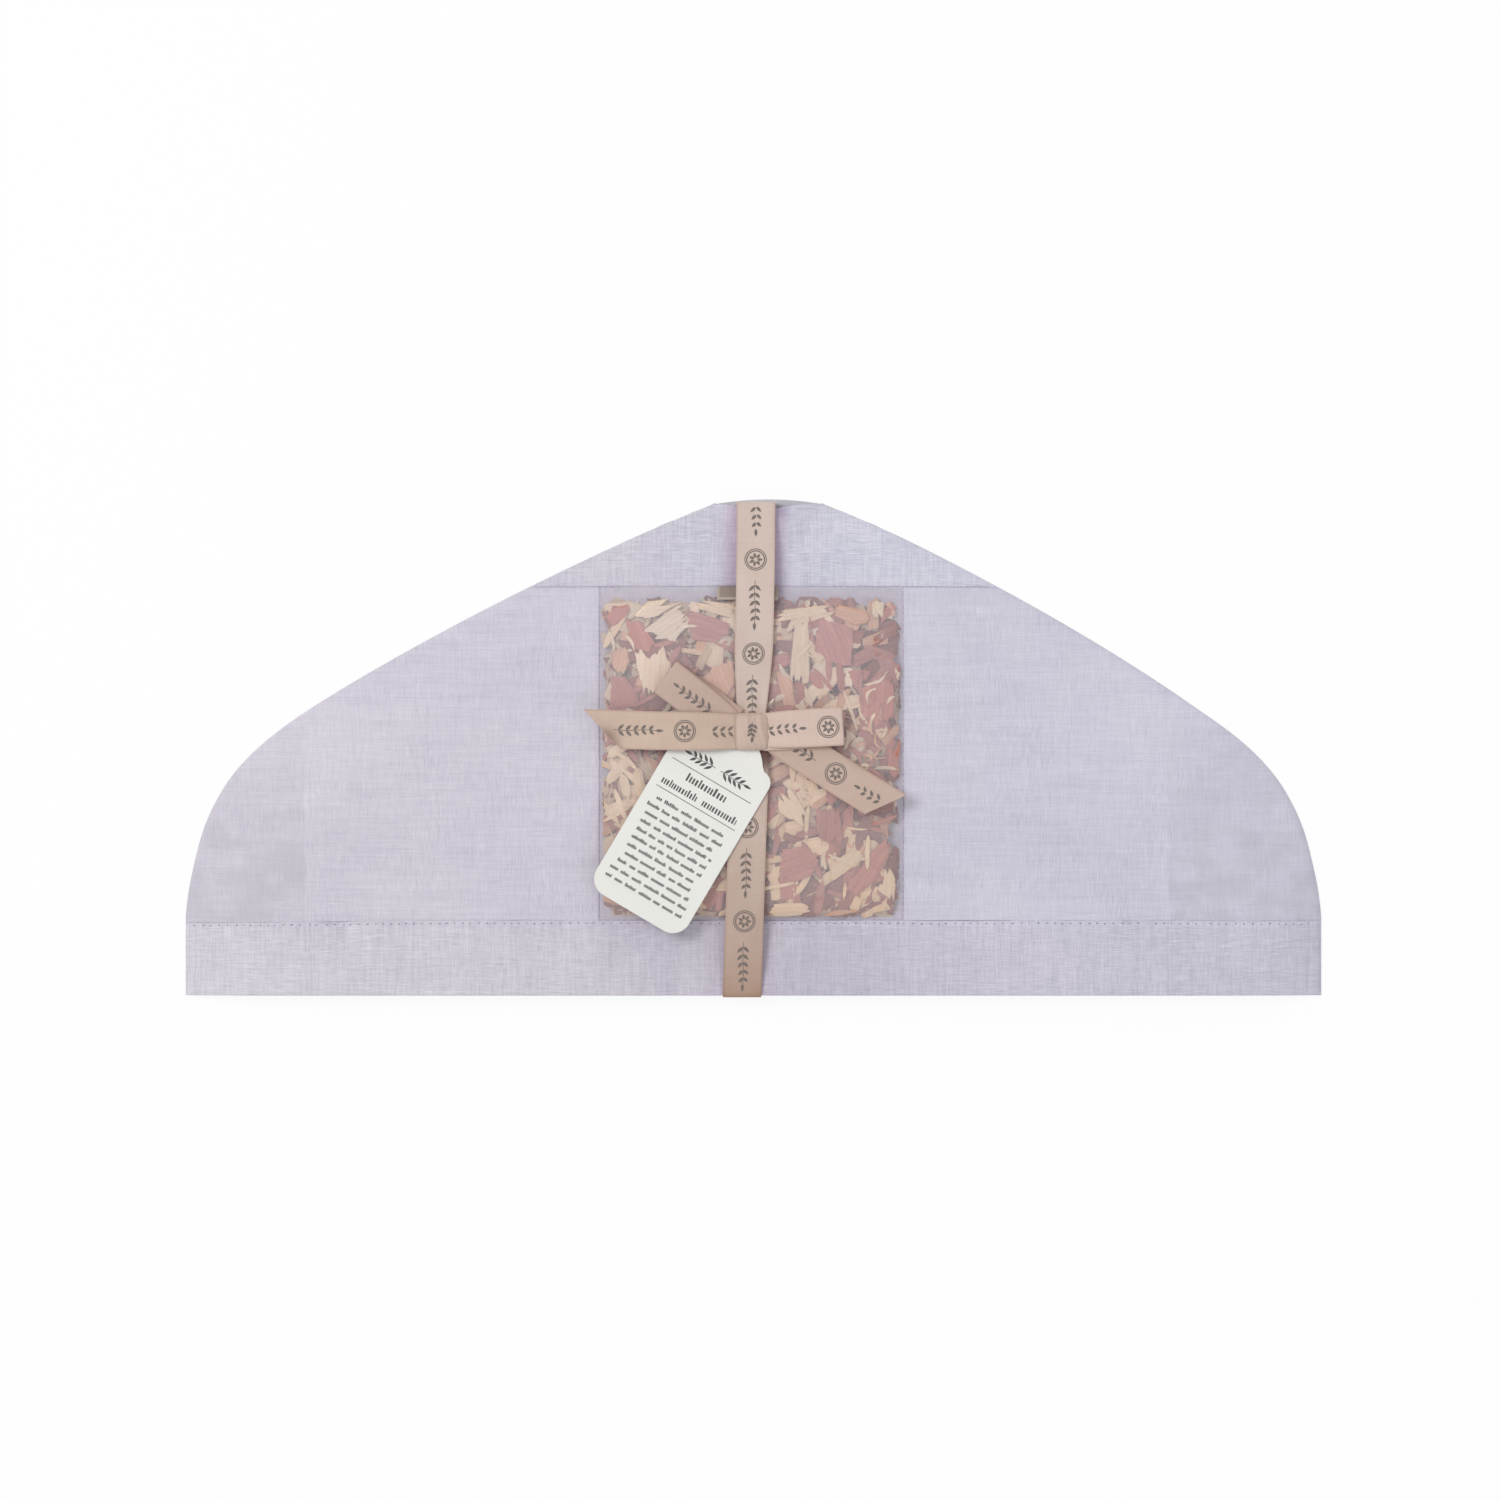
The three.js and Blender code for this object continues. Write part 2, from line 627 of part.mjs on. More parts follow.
// Knot, domed across the wrap
const knotPlan = (across, up) => [knotX + (across - 0.5) * knotWidth, knotY + (up - 0.5) * knotLength];
function knotUpperAt(x, y) {
  const share = 2 * (y - knotY) / knotLength;
  const dome = Math.sqrt(Math.max(1 - share ** knotSquareness, 0));
  return bowBase + knotHeight * THREE.MathUtils.lerp(knotEdgeShare, 1, dome);
}
addPiece(tie, 'bow_knot', sheetGeometry(2, 10, knotPlan, () => bowBase, knotUpperAt), 'ribbon');

// A bow piece leaves the knot's face: how far from its origin its root lies
function rootReach(origin, angle) {
  const turn = THREE.MathUtils.degToRad(angle);
  const [along, across] = [Math.cos(turn), Math.sin(turn)];
  const corner = Math.abs(along) * knotWidth / 2 + Math.abs(across) * knotLength / 2;
  return corner - (origin.x - knotX) * along - (origin.y - knotY) * across + layerClearance;
}

function placeBowPiece(mesh, origin, angle) {
  mesh.position.set(origin.x, origin.y, 0);
  mesh.rotation.z = THREE.MathUtils.degToRad(angle);
  return mesh;
}

// Height of a loop's upper layer over its lower one, from the knot to the fold
function loopRise(share) {
  return THREE.MathUtils.lerp(loopRootGap, 2 * foldRadius, share) + loopBulge * 4 * share * (1 - share);
}

// A loop runs out along its lower layer, folds, and comes back along its upper layer
function loopPath(root, reach, base) {
  const span = reach - foldRadius;
  const foldSteps = 6;
  const backSteps = 8;
  const fold = Array.from({ length: foldSteps + 1 }, (_, step) => {
    const turn = Math.PI * (step / foldSteps - 0.5);
    return [span + foldRadius * Math.cos(turn), base + foldRadius * (1 + Math.sin(turn))];
  });
  const back = Array.from({ length: backSteps }, (_, step) => {
    const share = 1 - (step + 1) / backSteps;
    return [THREE.MathUtils.lerp(root, span, share), base + loopRise(share)];
  });
  return [[root, base], ...fold, ...back];
}

const knotCentre = new THREE.Vector2(knotX, knotY);
const leftLoopOrigin = new THREE.Vector2(knotX + leftLoopShift, knotY);
const rightTailOrigin = new THREE.Vector2(knotX, knotY + rightTailLift);
const leftLoopRoot = rootReach(leftLoopOrigin, leftLoopAngle);
const leftLoopPath = loopPath(leftLoopRoot, leftLoopReach, bowBase);
const leftLoop = addPiece(tie, 'bow_loop_left', strapGeometry(leftLoopPath, ribbonWidth), 'ribbon');
placeBowPiece(leftLoop, leftLoopOrigin, leftLoopAngle);

// Top of the left loop in plan, for the tail that lies over it
function leftLoopTopAt(x, y) {
  const turnBack = THREE.MathUtils.degToRad(-leftLoopAngle);
  const inLoop = new THREE.Vector2(x, y).rotateAround(leftLoopOrigin, turnBack);
  const along = inLoop.x - leftLoopOrigin.x;
  const beside = Math.abs(inLoop.y - leftLoopOrigin.y) > ribbonWidth / 2 + layerClearance;
  if (beside || along < leftLoopRoot || along > leftLoopReach) {
    return 0;
  }
  const share = (along - leftLoopRoot) / (leftLoopReach - foldRadius - leftLoopRoot);
  return bowBase + loopRise(Math.min(share, 1));
}

// A tail is laid taut from the knot over whatever lies under it, and its tip lifts a little
function tailPath(origin, angle, root, reach, cut, firstHeight, underAt) {
  const steps = 12;
  const cutSteps = 4;
  const turn = THREE.MathUtils.degToRad(angle);
  const places = [
    ...Array.from({ length: steps }, (_, step) => THREE.MathUtils.lerp(root, reach - cut / 2, step / steps)),
    ...Array.from({ length: cutSteps + 1 }, (_, step) => reach + cut * (step / cutSteps - 0.5)),
  ];
  const points = places.map((along) => {
    const heights = [-0.5, -0.25, 0, 0.25, 0.5].map((share) => underAt(
      origin.x + along * Math.cos(turn) - share * ribbonWidth * Math.sin(turn),
      origin.y + along * Math.sin(turn) + share * ribbonWidth * Math.cos(turn),
    ));
    return [along, Math.max(...heights) + tailClearance];
  });
  points[0][1] = firstHeight;
  points.at(-1)[1] += tipLift;
  const line = tautLine(points);
  return places.map((along) => [along, heightOn(line, along)]);
}

const leftTailPath = tailPath(
  knotCentre, leftTailAngle, rootReach(knotCentre, leftTailAngle),
  leftTailReach, leftTailCut, bowBase + rootHeight,
  (x, y) => Math.max(underSlidingAt(x, y, coverTopAt), leftLoopTopAt(x, y)),
);
placeBowPiece(
  addPiece(tie, 'bow_tail_left', strapGeometry(leftTailPath, ribbonWidth, -leftTailCut), 'ribbon'),
  knotCentre, leftTailAngle,
);

const rightTailPath = tailPath(
  rightTailOrigin, rightTailAngle, rootReach(rightTailOrigin, rightTailAngle),
  rightTailReach, rightTailCut, bowBase + rightTailRootHeight,
  (x, y) => underSlidingAt(x, y, coverTopAt),
);
placeBowPiece(
  addPiece(tie, 'bow_tail_right', strapGeometry(rightTailPath, ribbonWidth, rightTailCut), 'ribbon'),
  rightTailOrigin, rightTailAngle,
);

const rightLoopPath = loopPath(rootReach(knotCentre, rightLoopAngle), rightLoopReach, bowBase + rootHeight);
placeBowPiece(
  addPiece(tie, 'bow_loop_right', strapGeometry(rightLoopPath, ribbonWidth), 'ribbon'),
  knotCentre, rightLoopAngle,
);

const hangerCover = new THREE.Group();
hangerCover.add(cover, tie, hangTag);

export default hangerCover;
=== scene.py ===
import math

import bmesh
import bpy
import numpy as np
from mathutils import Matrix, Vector


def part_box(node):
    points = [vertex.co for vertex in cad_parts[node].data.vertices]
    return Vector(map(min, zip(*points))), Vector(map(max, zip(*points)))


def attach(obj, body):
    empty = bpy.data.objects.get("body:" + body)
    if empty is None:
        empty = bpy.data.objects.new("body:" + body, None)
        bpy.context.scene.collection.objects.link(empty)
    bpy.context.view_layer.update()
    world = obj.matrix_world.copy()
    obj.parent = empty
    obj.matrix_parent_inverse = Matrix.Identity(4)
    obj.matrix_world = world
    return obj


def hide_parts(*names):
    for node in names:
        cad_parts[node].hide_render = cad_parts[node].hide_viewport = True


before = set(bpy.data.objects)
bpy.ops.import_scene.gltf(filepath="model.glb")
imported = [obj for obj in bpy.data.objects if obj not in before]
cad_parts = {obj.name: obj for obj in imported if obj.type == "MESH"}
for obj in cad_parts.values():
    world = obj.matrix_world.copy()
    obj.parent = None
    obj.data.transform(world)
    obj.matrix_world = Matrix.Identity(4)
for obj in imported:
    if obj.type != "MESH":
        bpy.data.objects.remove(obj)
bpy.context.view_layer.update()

# Linen hanger cover with a cedar-filled silk window, tied with a satin ribbon that carries a card tag.
# It lies on its back. Metres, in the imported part's frame: +X right, +Y to the hook opening, +Z up.

MM = 0.001
TAU = 2 * math.pi


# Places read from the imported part
def corner(node, end, axis):
    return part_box(node)[end]["xyz".index(axis)]


HEM_Y = corner("back_hem_band", 0, "y")
NECK_Y = corner("front_yoke", 1, "y")
YOKE_SEAM_Y = (corner("front_yoke", 0, "y") + corner("front_left_panel", 1, "y")) / 2
HEM_SEAM_Y = (corner("back_panel", 0, "y") + corner("back_hem_band", 1, "y")) / 2
WINDOW_LEFT = (corner("window_lining", 0, "x") + corner("front_left_panel", 1, "x")) / 2
WINDOW_RIGHT = (corner("window_lining", 1, "x") + corner("front_right_panel", 0, "x")) / 2
COVER_HALF = corner("back_panel", 1, "x")
LINEN = corner("back_panel", 1, "z")
HEM_THICKNESS = corner("back_hem_band", 1, "z")
SEAM_Z = corner("front_yoke", 0, "z")
OPEN_DEPTH = corner("front_left_panel", 1, "z") - LINEN - SEAM_Z
GAPE = corner("front_yoke", 1, "z") - LINEN - SEAM_Z
CLEARANCE = SEAM_Z - HEM_THICKNESS
KNOT_LOW, KNOT_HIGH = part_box("bow_knot")
KNOT_X, KNOT_Y = (KNOT_LOW.x + KNOT_HIGH.x) / 2, (KNOT_LOW.y + KNOT_HIGH.y) / 2

# Form of the cover, as the part has it
SEAM_ROLL = 45 * MM
OPENING_X = 6 * MM
OPENING_HALF = 21.5 * MM
OPENING_BLEND = 28 * MM
PILLOW_RISE = 7 * MM
PILLOW_SQUARENESS = 6
POCKET_HEADROOM = 3.8 * MM
LINING = 0.5 * MM
SILK = 0.3 * MM
RIBBON_WIDTH = 15.4 * MM
RIBBON_HALF = RIBBON_WIDTH / 2

# Cloth as it is really: thinner than the solids that stand for it
CLOTH = 0.42 * MM
SATIN = 0.26 * MM


def srgb(red, green, blue):
    """A display colour of 0 to 255 as the linear colour that shaders take."""
    shares = [value / 255 for value in (red, green, blue)]
    return [s / 12.92 if s <= 0.04045 else ((s + 0.055) / 1.055) ** 2.4 for s in shares]


def smoothstep(low, high, value):
    share = np.clip((value - low) / (high - low), 0, 1)
    return share * share * (3 - 2 * share)


def lerp(low, high, share):
    return low + (high - low) * share


def value_noise(x, y, cell, seed):
    """Smooth noise of about -1 to 1 whose features are a cell wide."""
    size = 64
    lattice = np.random.default_rng(seed).uniform(-1, 1, (size, size))
    column, row = np.floor(x / cell).astype(int), np.floor(y / cell).astype(int)
    across, up = smoothstep(0, 1, x / cell - column), smoothstep(0, 1, y / cell - row)
    corners = [lattice[(row + j) % size, (column + i) % size] for j in (0, 1) for i in (0, 1)]
    return lerp(lerp(corners[0], corners[1], across), lerp(corners[2], corners[3], across), up)


def natural_spline(places, values):
    """A smooth curve through the values, as a function of the place."""
    x, y = np.array(places), np.array(values)
    step = np.diff(x)
    matrix = np.eye(len(x))
    right = np.zeros(len(x))
    for k in range(1, len(x) - 1):
        matrix[k, k - 1 : k + 2] = step[k - 1], 2 * (step[k - 1] + step[k]), step[k]
        right[k] = 6 * ((y[k + 1] - y[k]) / step[k] - (y[k] - y[k - 1]) / step[k - 1])
    bend = np.linalg.solve(matrix, right)

    def curve(place):
        place = np.clip(place, x[0], x[-1])
        k = np.clip(np.searchsorted(x, place) - 1, 0, len(step) - 1)
        a, b = (x[k + 1] - place) / step[k], (place - x[k]) / step[k]
        sag = ((a**3 - a) * bend[k] + (b**3 - b) * bend[k + 1]) * step[k] ** 2 / 6
        return a * y[k] + b * y[k + 1] + sag

    return curve


def packed_points(node):
    return [vertex.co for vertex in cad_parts[node].data.vertices]


def packed_levels(node, digits):
    """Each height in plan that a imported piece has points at, from low to high, with those points."""
    levels = {}
    for point in packed_points(node):
        levels.setdefault(round(point.y, digits), []).append(point)
    return sorted(levels.items())


# The cover's outline, read from the back panel's edge
def read_outline():
    levels = [level for level in packed_levels("back_panel", 6) if level[0] <= NECK_Y + 0.01 * MM]
    heights = [y for y, points in levels]
    return [
        natural_spline(heights, [side(point.x for point in points) for y, points in levels])
        for side in (min, max)
    ]


left_edge, right_edge = read_outline()


def seam_distance(x, y):
    """Distance in plan to the nearer sewn side."""
    heights = np.linspace(HEM_Y, NECK_Y, 49)
    nearest = np.full(np.shape(x), np.inf)
    for edge in (left_edge, right_edge):
        line = np.stack([edge(heights), heights], -1)
        for start, end in zip(line[:-1], line[1:]):
            run = end - start
            share = np.clip(((x - start[0]) * run[0] + (y - start[1]) * run[1]) / (run @ run), 0, 1)
            away = np.hypot(x - start[0] - share * run[0], y - start[1] - share * run[1])
            nearest = np.minimum(nearest, away)
    return nearest


def front_lower(x, y):
    """Underside of the cover's front."""
    inside = np.minimum(seam_distance(x, y) / SEAM_ROLL, 1)
    roll = OPEN_DEPTH * (1 - (1 - inside) ** 2)
    gape = GAPE * np.maximum(1 - ((x - OPENING_X) / OPENING_HALF) ** 2, 0)
    near_opening = smoothstep(NECK_Y - OPENING_BLEND, NECK_Y, y)
    return SEAM_Z + roll + near_opening * np.maximum(gape - roll, 0)


POCKET_TOP = YOKE_SEAM_Y - POCKET_HEADROOM
POCKET_MIDDLE = (POCKET_TOP + HEM_SEAM_Y) / 2
POCKET_HALF_HEIGHT = (POCKET_TOP - HEM_SEAM_Y) / 2
WINDOW_MIDDLE = (WINDOW_LEFT + WINDOW_RIGHT) / 2
WINDOW_HALF = (WINDOW_RIGHT - WINDOW_LEFT) / 2


def pillow(x, y):
    """How far the filling lifts the silk over the pocket."""
    rise = PILLOW_RISE
    for share in ((x - WINDOW_MIDDLE) / WINDOW_HALF, (y - POCKET_MIDDLE) / POCKET_HALF_HEIGHT):
        rise = rise * np.sqrt(np.maximum(1 - np.abs(share) ** PILLOW_SQUARENESS, 0))
    return rise


def silk_limit(x, y):
    """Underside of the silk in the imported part, which nothing in the pocket may pass."""
    return front_lower(x, y) + LINING + CLEARANCE + pillow(x, y)


# Meshes
CLOTH_SHARP = 50


def add_object(name, data):
    added = bpy.data.objects.new(name, data)
    bpy.context.scene.collection.objects.link(added)
    return added


def link_mesh(name, vertices, faces, material, uv=None, shade=None, sharp=CLOTH_SHARP):
    """A smooth mesh, whose edges are sharp where its faces meet at more than the given angle."""
    mesh = bpy.data.meshes.new(name)
    mesh.from_pydata(np.asarray(vertices).tolist(), [], [list(face) for face in faces])
    mesh.polygons.foreach_set("use_smooth", [True] * len(mesh.polygons))
    mesh.set_sharp_from_angle(angle=math.radians(sharp))
    corners = np.empty(len(mesh.loops), int)
    mesh.loops.foreach_get("vertex_index", corners)
    if uv is not None:
        layer = mesh.uv_layers.new(name="Surface")
        layer.data.foreach_set("uv", np.asarray(uv, float)[corners].ravel())
    tint = mesh.color_attributes.new("Shade", "FLOAT_COLOR", "POINT")
    colours = np.ones((len(mesh.vertices), 4))
    if shade is not None:
        colours[:, :3] = shade
    tint.data.foreach_set("color", colours.ravel())
    mesh.materials.append(material)
    return add_object(name, mesh)


def grid_faces(rows, columns):
    """Faces of a closed sheet whose upper points come first, then as many lower ones."""
    at = np.arange(rows * columns).reshape(rows, columns)
    a, b, c, d = at[:-1, :-1], at[:-1, 1:], at[1:, 1:], at[1:, :-1]
    upper = np.stack([a, b, c, d], -1).reshape(-1, 4)
    lower = upper[:, ::-1] + rows * columns
    rim = np.concatenate([at[0, :-1], at[:-1, -1], at[-1, :0:-1], at[:0:-1, 0]])
    following = np.roll(rim, -1)
    sides = np.stack([following, rim, rim + rows * columns, following + rows * columns], -1)
    return np.concatenate([upper, lower, sides])


def grid_normals(points):
    across = np.gradient(points, axis=1)
    up = np.gradient(points, axis=0)
    normal = np.cross(across, up)
    return normal / np.maximum(np.linalg.norm(normal, axis=-1, keepdims=True), 1e-12)


def closed_sheet(name, points, thickness, material, uv=None, shade=None):
    """A cloth sheet: a grid of points on its upper face and a thickness under them."""
    rows, columns = points.shape[:2]
    depth = np.broadcast_to(thickness, (rows, columns))[..., None]
    lower = points - grid_normals(points) * depth
    vertices = np.concatenate([points.reshape(-1, 3), lower.reshape(-1, 3)])

    def both(values):
        if values is not None:
            return np.tile(np.asarray(values).reshape(rows * columns, -1), (2, 1))

    return link_mesh(name, vertices, grid_faces(rows, columns), material, both(uv), both(shade))


def shares(count, low_edge=0, high_edge=0):
    """Evenly spread shares from 0 to 1, with closer ones within an edge's width, given as a share."""
    close = np.array([0, 0.12, 0.3, 0.5, 0.75])
    values = [np.linspace(0, 1, count)]
    if low_edge:
        values.append(close * low_edge)
    if high_edge:
        values.append(1 - close * high_edge)
    return np.unique(np.round(np.concatenate(values), 7))


# Node graphs
class Value:
    """A node's output, reckoned with as a number. Each step of the reckoning adds a node."""

    def __init__(self, graph, socket):
        self.graph, self.socket = graph, socket

    def math(self, operation, other=0.0):
        return self.graph.out("Math", {0: self, 1: other}, operation=operation)

    def __add__(self, other):
        return self.math("ADD", other)

    def __sub__(self, other):
        return self.math("SUBTRACT", other)

    def __mul__(self, other):
        return self.math("MULTIPLY", other)

    def __abs__(self):
        return self.math("ABSOLUTE")

    def larger(self, other):
        return self.math("MAXIMUM", other)

    def wave(self, pitch):
        """A sine wave of the given pitch, from -1 to 1."""
        return (self * (TAU / pitch)).math("SINE")

    def fade(self, low, high, from_share=0.0, to_share=1.0):
        """The value's way from low to high, as a smooth share."""
        inputs = {"Value": self, "From Min": low, "From Max": high, "To Min": from_share, "To Max": to_share}
        return self.graph.out("MapRange", inputs, interpolation_type="SMOOTHSTEP")


class Graph:
    """The node tree of a material or world. Sizes are in millimetres."""

    def __init__(self, owner):
        owner.use_nodes = True
        self.owner, self.tree = owner, owner.node_tree
        self.shader = self.tree.nodes.get("Principled BSDF")

    def put(self, value, socket):
        if isinstance(value, Value):
            self.tree.links.new(value.socket, socket)
        else:
            socket.default_value = value

    def out(self, kind, inputs=None, output=0, **settings):
        """An output of a new node with these inputs and settings."""
        node = self.tree.nodes.new("ShaderNode" + kind)
        for name, value in settings.items():
            setattr(node, name, value)
        for name, value in (inputs or {}).items():
            self.put(value, node.inputs[name])
        return Value(self, node.outputs[output])

    def place(self, features=(1, 1, 1), offset=0.0):
        """Places counted in features: three sizes are of the object, two of its UV map."""
        if len(features) == 3:
            vector = self.out("TexCoord", output="Object")
            scale = [1 / (size * MM) for size in features]
        else:
            vector = self.out("UVMap", uv_map="Surface")
            scale = [1 / size for size in features] + [1]
        return self.out("Mapping", {"Vector": vector, "Scale": scale, "Location": [offset] * 3})

    def axes(self, features=(1, 1, 1)):
        """The first two coordinates of a place."""
        node = self.tree.nodes.new("ShaderNodeSeparateXYZ")
        self.put(self.place(features), node.inputs[0])
        return Value(self, node.outputs[0]), Value(self, node.outputs[1])

    def noise(self, features, offset, detail=2.0, roughness=0.5, distortion=0.0):
        inputs = {"Vector": self.place(features, offset), "Scale": 1.0}
        inputs |= {"Detail": detail, "Roughness": roughness, "Distortion": distortion}
        return self.out("TexNoise", inputs)

    def blend(self, share, first, second, blend_type="MIX"):
        inputs = {0: share}
        for index, colour in ((6, first), (7, second)):
            inputs[index] = colour if isinstance(colour, Value) else (*colour, 1)
        return self.out("Mix", inputs, 2, data_type="RGBA", blend_type=blend_type)

    def tinted(self, share, base, colour):
        """The base colour, multiplied by another one where the share is high."""
        return self.blend(share, base, self.blend(1.0, base, colour, "MULTIPLY"))

    def shaded(self, colour):
        """The colour, multiplied by the mesh's own colours, which hold the chips' tints and painted light
        and shade.
        """
        return self.blend(1.0, colour, self.out("VertexColor", layer_name="Shade"), "MULTIPLY")

    def dressed(self, colour, height, depth, strength=1.0):
        """The material with a colour and a relief, whose depth is from its lowest to its highest point."""
        self.put(colour, self.shader.inputs["Base Color"])
        bump = self.out("Bump", {"Height": height, "Distance": depth * MM, "Strength": strength})
        self.put(bump, self.shader.inputs["Normal"])
        return self.owner


def weigh(*pairs):
    """Sum of patterns about their middle, each with its weight, as a share about 0.5."""
    total = 0.5
    for pattern, weight in pairs:
        total = (pattern - 0.5) * weight + total
    return total


def finish(name, roughness, **sockets):
    """A material for a slot of the part, with what is the same all over it."""
    material = bpy.data.materials.new(f"{name}_finish")
    material["slot"] = name
    graph = Graph(material)
    for socket, value in {"Roughness": roughness, **sockets}.items():
        graph.shader.inputs[socket.replace("_", " ")].default_value = value
    return graph


# Linen: streaks and slubs run along the grain, over a fine plain weave
RIBBON_LEAN = (5.6 * MM) / (NECK_Y - HEM_Y)
RIBBON_SHIFT = -1.8 * MM
LINEN_PITCH = 0.55

# Hem and yoke are tinted lighter or darker from left to right.
# For each: heights it starts between, places its tint goes from and to, and both ends of the tint
BAND_TINTS = (
    (-70, -73, -120, 20, (257, 260, 257), (250, 250, 248)),
    (62, 68, -30, 45, (251, 254, 252), (260, 264, 262)),
)


def linen_material(name, grain, dark, light, streak=1.0, thread_contrast=1.0, doubled=False, front=True):
    """Linen woven along one axis. The front alone has the tints of the facings behind it, and painted shade:
    beside the ribbon that lies on it, low in the middle of the hem and on the left shoulder.
    """
    graph = finish(name, 0.86, Sheen_Weight=0.12, Sheen_Roughness=0.5, Specular_IOR_Level=0.2)

    def grained(along, across, offset):
        sizes = [across, across, 40]
        sizes[grain] = along
        return graph.noise(sizes, offset, 2.0, 0.55, 0.15)

    streaks = grained(20, 0.8, 3.1)
    threads = grained(6, 0.34, 8.7)
    broad = grained(60, 4.5, 5.3)
    slubs = grained(16, 0.6, 1.9).fade(0.66, 0.75)
    weft = grained(0.85, 15, 6.1)
    weft_threads = grained(0.34, 5, 2.6)
    weft_slubs = grained(0.6, 13, 9.4).fade(0.67, 0.76)
    clouds = graph.noise((48, 48, 48), 2.2)
    tone = weigh(
        (streaks, 0.8 * streak), (threads, 0.75 * thread_contrast), (broad, 0.25),
        (weft, 0.6 * streak), (weft_threads, 0.7 * thread_contrast), (clouds, 0.6),
    )
    open_weave = graph.noise((22, 16, 9), 5.5, 3.0, 0.6).fade(0.42, 0.68)
    tone = tone + (weft_threads - threads) * open_weave * 0.9 + slubs * 0.3 + weft_slubs * 0.25
    cloth = graph.blend(tone, dark, light)

    across, up = graph.axes()
    warmth = across.fade(230, -230) + clouds * 0.5
    warm_tint = graph.blend(warmth.fade(0.1, 1.3), srgb(253, 254, 260), srgb(254, 251, 252))
    cloth = graph.blend(1.0, cloth, warm_tint, "MULTIPLY")
    if front:
        # Painted shade: the hem is a little darker low in the middle, about the ribbon.
        painted_hem_shade = abs(across - 5.0).fade(110, 15) * up.fade(-45, -72)
        cloth = graph.tinted(painted_hem_shade, cloth, srgb(246, 245, 246))
        # Painted shade: the cloth is a little greyer on the upper left, where it turns down towards the
        # side.
        painted_shoulder_shade = across.fade(-60, -130) * up.fade(10, 45)
        cloth = graph.tinted(painted_shoulder_shade, cloth, srgb(249, 251, 253))
        for low, high, left, right, left_tint, right_tint in BAND_TINTS:
            tint = graph.blend(across.fade(left, right), srgb(*left_tint), srgb(*right_tint))
            cloth = graph.tinted(up.fade(low, high), cloth, tint)
    if doubled:
        wander = graph.noise((30, 9, 9), 4.0) * 4.0
        below = (up + wander).fade(11.4, 10.2)
        outer_left = (across + wander).fade(-177.6, -178.8)
        outer_right = (across - wander).fade(164.2, 165.4)
        patchy = graph.noise((16, 12, 9), 7.0).fade(0.3, 0.65, 0.12, 0.4) * up.fade(5, -55, 0.3, 1.0)
        shown = below * outer_left.larger(outer_right) * patchy
        cloth = graph.blend(shown, cloth, srgb(180, 178, 188))
    if front:
        # Painted shade cast by the ribbon on the cloth beside it, in a mauve tint.
        beside = abs(across - (up * RIBBON_LEAN + RIBBON_SHIFT / MM))
        painted_ribbon_shade = beside.fade(16, 7) * up.fade(-40, 60, 0.3, 0.9)
        cloth = graph.tinted(painted_ribbon_shade, cloth, srgb(237, 218, 230))
    weave = (across.wave(LINEN_PITCH) * up.wave(LINEN_PITCH)).fade(-1.0, 1.0)
    height = weigh((weave, 0.35), (streaks, 0.7), (threads, 0.4), (weft, 0.6), (slubs, 0.5))
    return graph.dressed(graph.shaded(cloth), height, 0.13, 0.7)


LINEN_TONES = (srgb(193, 190, 202), srgb(225, 222, 231))
CROSS_TONES = (srgb(190, 186, 199), srgb(224, 220, 230))
INNER_TONES = (srgb(186, 181, 195), srgb(218, 214, 224))
linen, back_linen = (
    linen_material("linen", 0, *LINEN_TONES, 0.8, 0.95, front, front) for front in (True, False)
)
linen_cross_grain, back_linen_cross_grain = (
    linen_material("linen_cross_grain", 1, *CROSS_TONES, 1.05, 1.65, False, front) for front in (True, False)
)
inner_linen = linen_material("inner_linen", 0, *INNER_TONES)


# Other materials
SILK_PITCH = 0.3
RIB_PITCH = 0.42
LABEL_PITCH = 0.3
LABEL_LENGTH = 5.3 * MM


def silk_material():
    graph = finish("sheer_silk", 0.6, Alpha=0.17, Specular_IOR_Level=0.3, Sheen_Weight=0.05)
    across, up = graph.axes()
    weave = across.wave(SILK_PITCH).larger(up.wave(SILK_PITCH)).fade(-1.0, 1.0)
    haze = graph.noise((9, 9, 9), 3.0, 3.0, 0.55)
    streaks = graph.noise((30, 0.5, 9), 3.0, 2.0, 0.55)
    tone = weigh((weave, 0.3), (haze, 0.7), (streaks, 0.5))
    colour = graph.blend(tone, srgb(208, 200, 206), srgb(238, 232, 238))
    return graph.dressed(colour, weigh((weave, 0.4), (streaks, 0.8)), 0.05, 0.6)


def cedar_material(name, dark, light, vein):
    graph = finish(name, 0.72, Specular_IOR_Level=0.3)
    fibre = graph.noise((9, 0.32), 2.0, 3.0, 0.6, 0.3)
    bands = graph.noise((40, 1.7), 7.0, 2.0, 0.5, 0.4)
    fleck = graph.noise((3.5, 0.4), 5.0).fade(0.62, 0.75)
    wood = graph.blend(weigh((fibre, 0.9), (bands, 1.1)), dark, light)
    wood = graph.blend(fleck * 0.45, wood, vein)
    up = graph.axes()[1]
    # The chips are a little warmer in tone towards the bottom of the window.
    warmer_low = graph.blend(up.fade(45, -45), srgb(255, 255, 255), srgb(251, 243, 225))
    wood = graph.blend(1.0, wood, warmer_low, "MULTIPLY")
    return graph.dressed(graph.shaded(wood), weigh((fibre, 1.0), (bands, 0.5)), 0.22, 0.9)


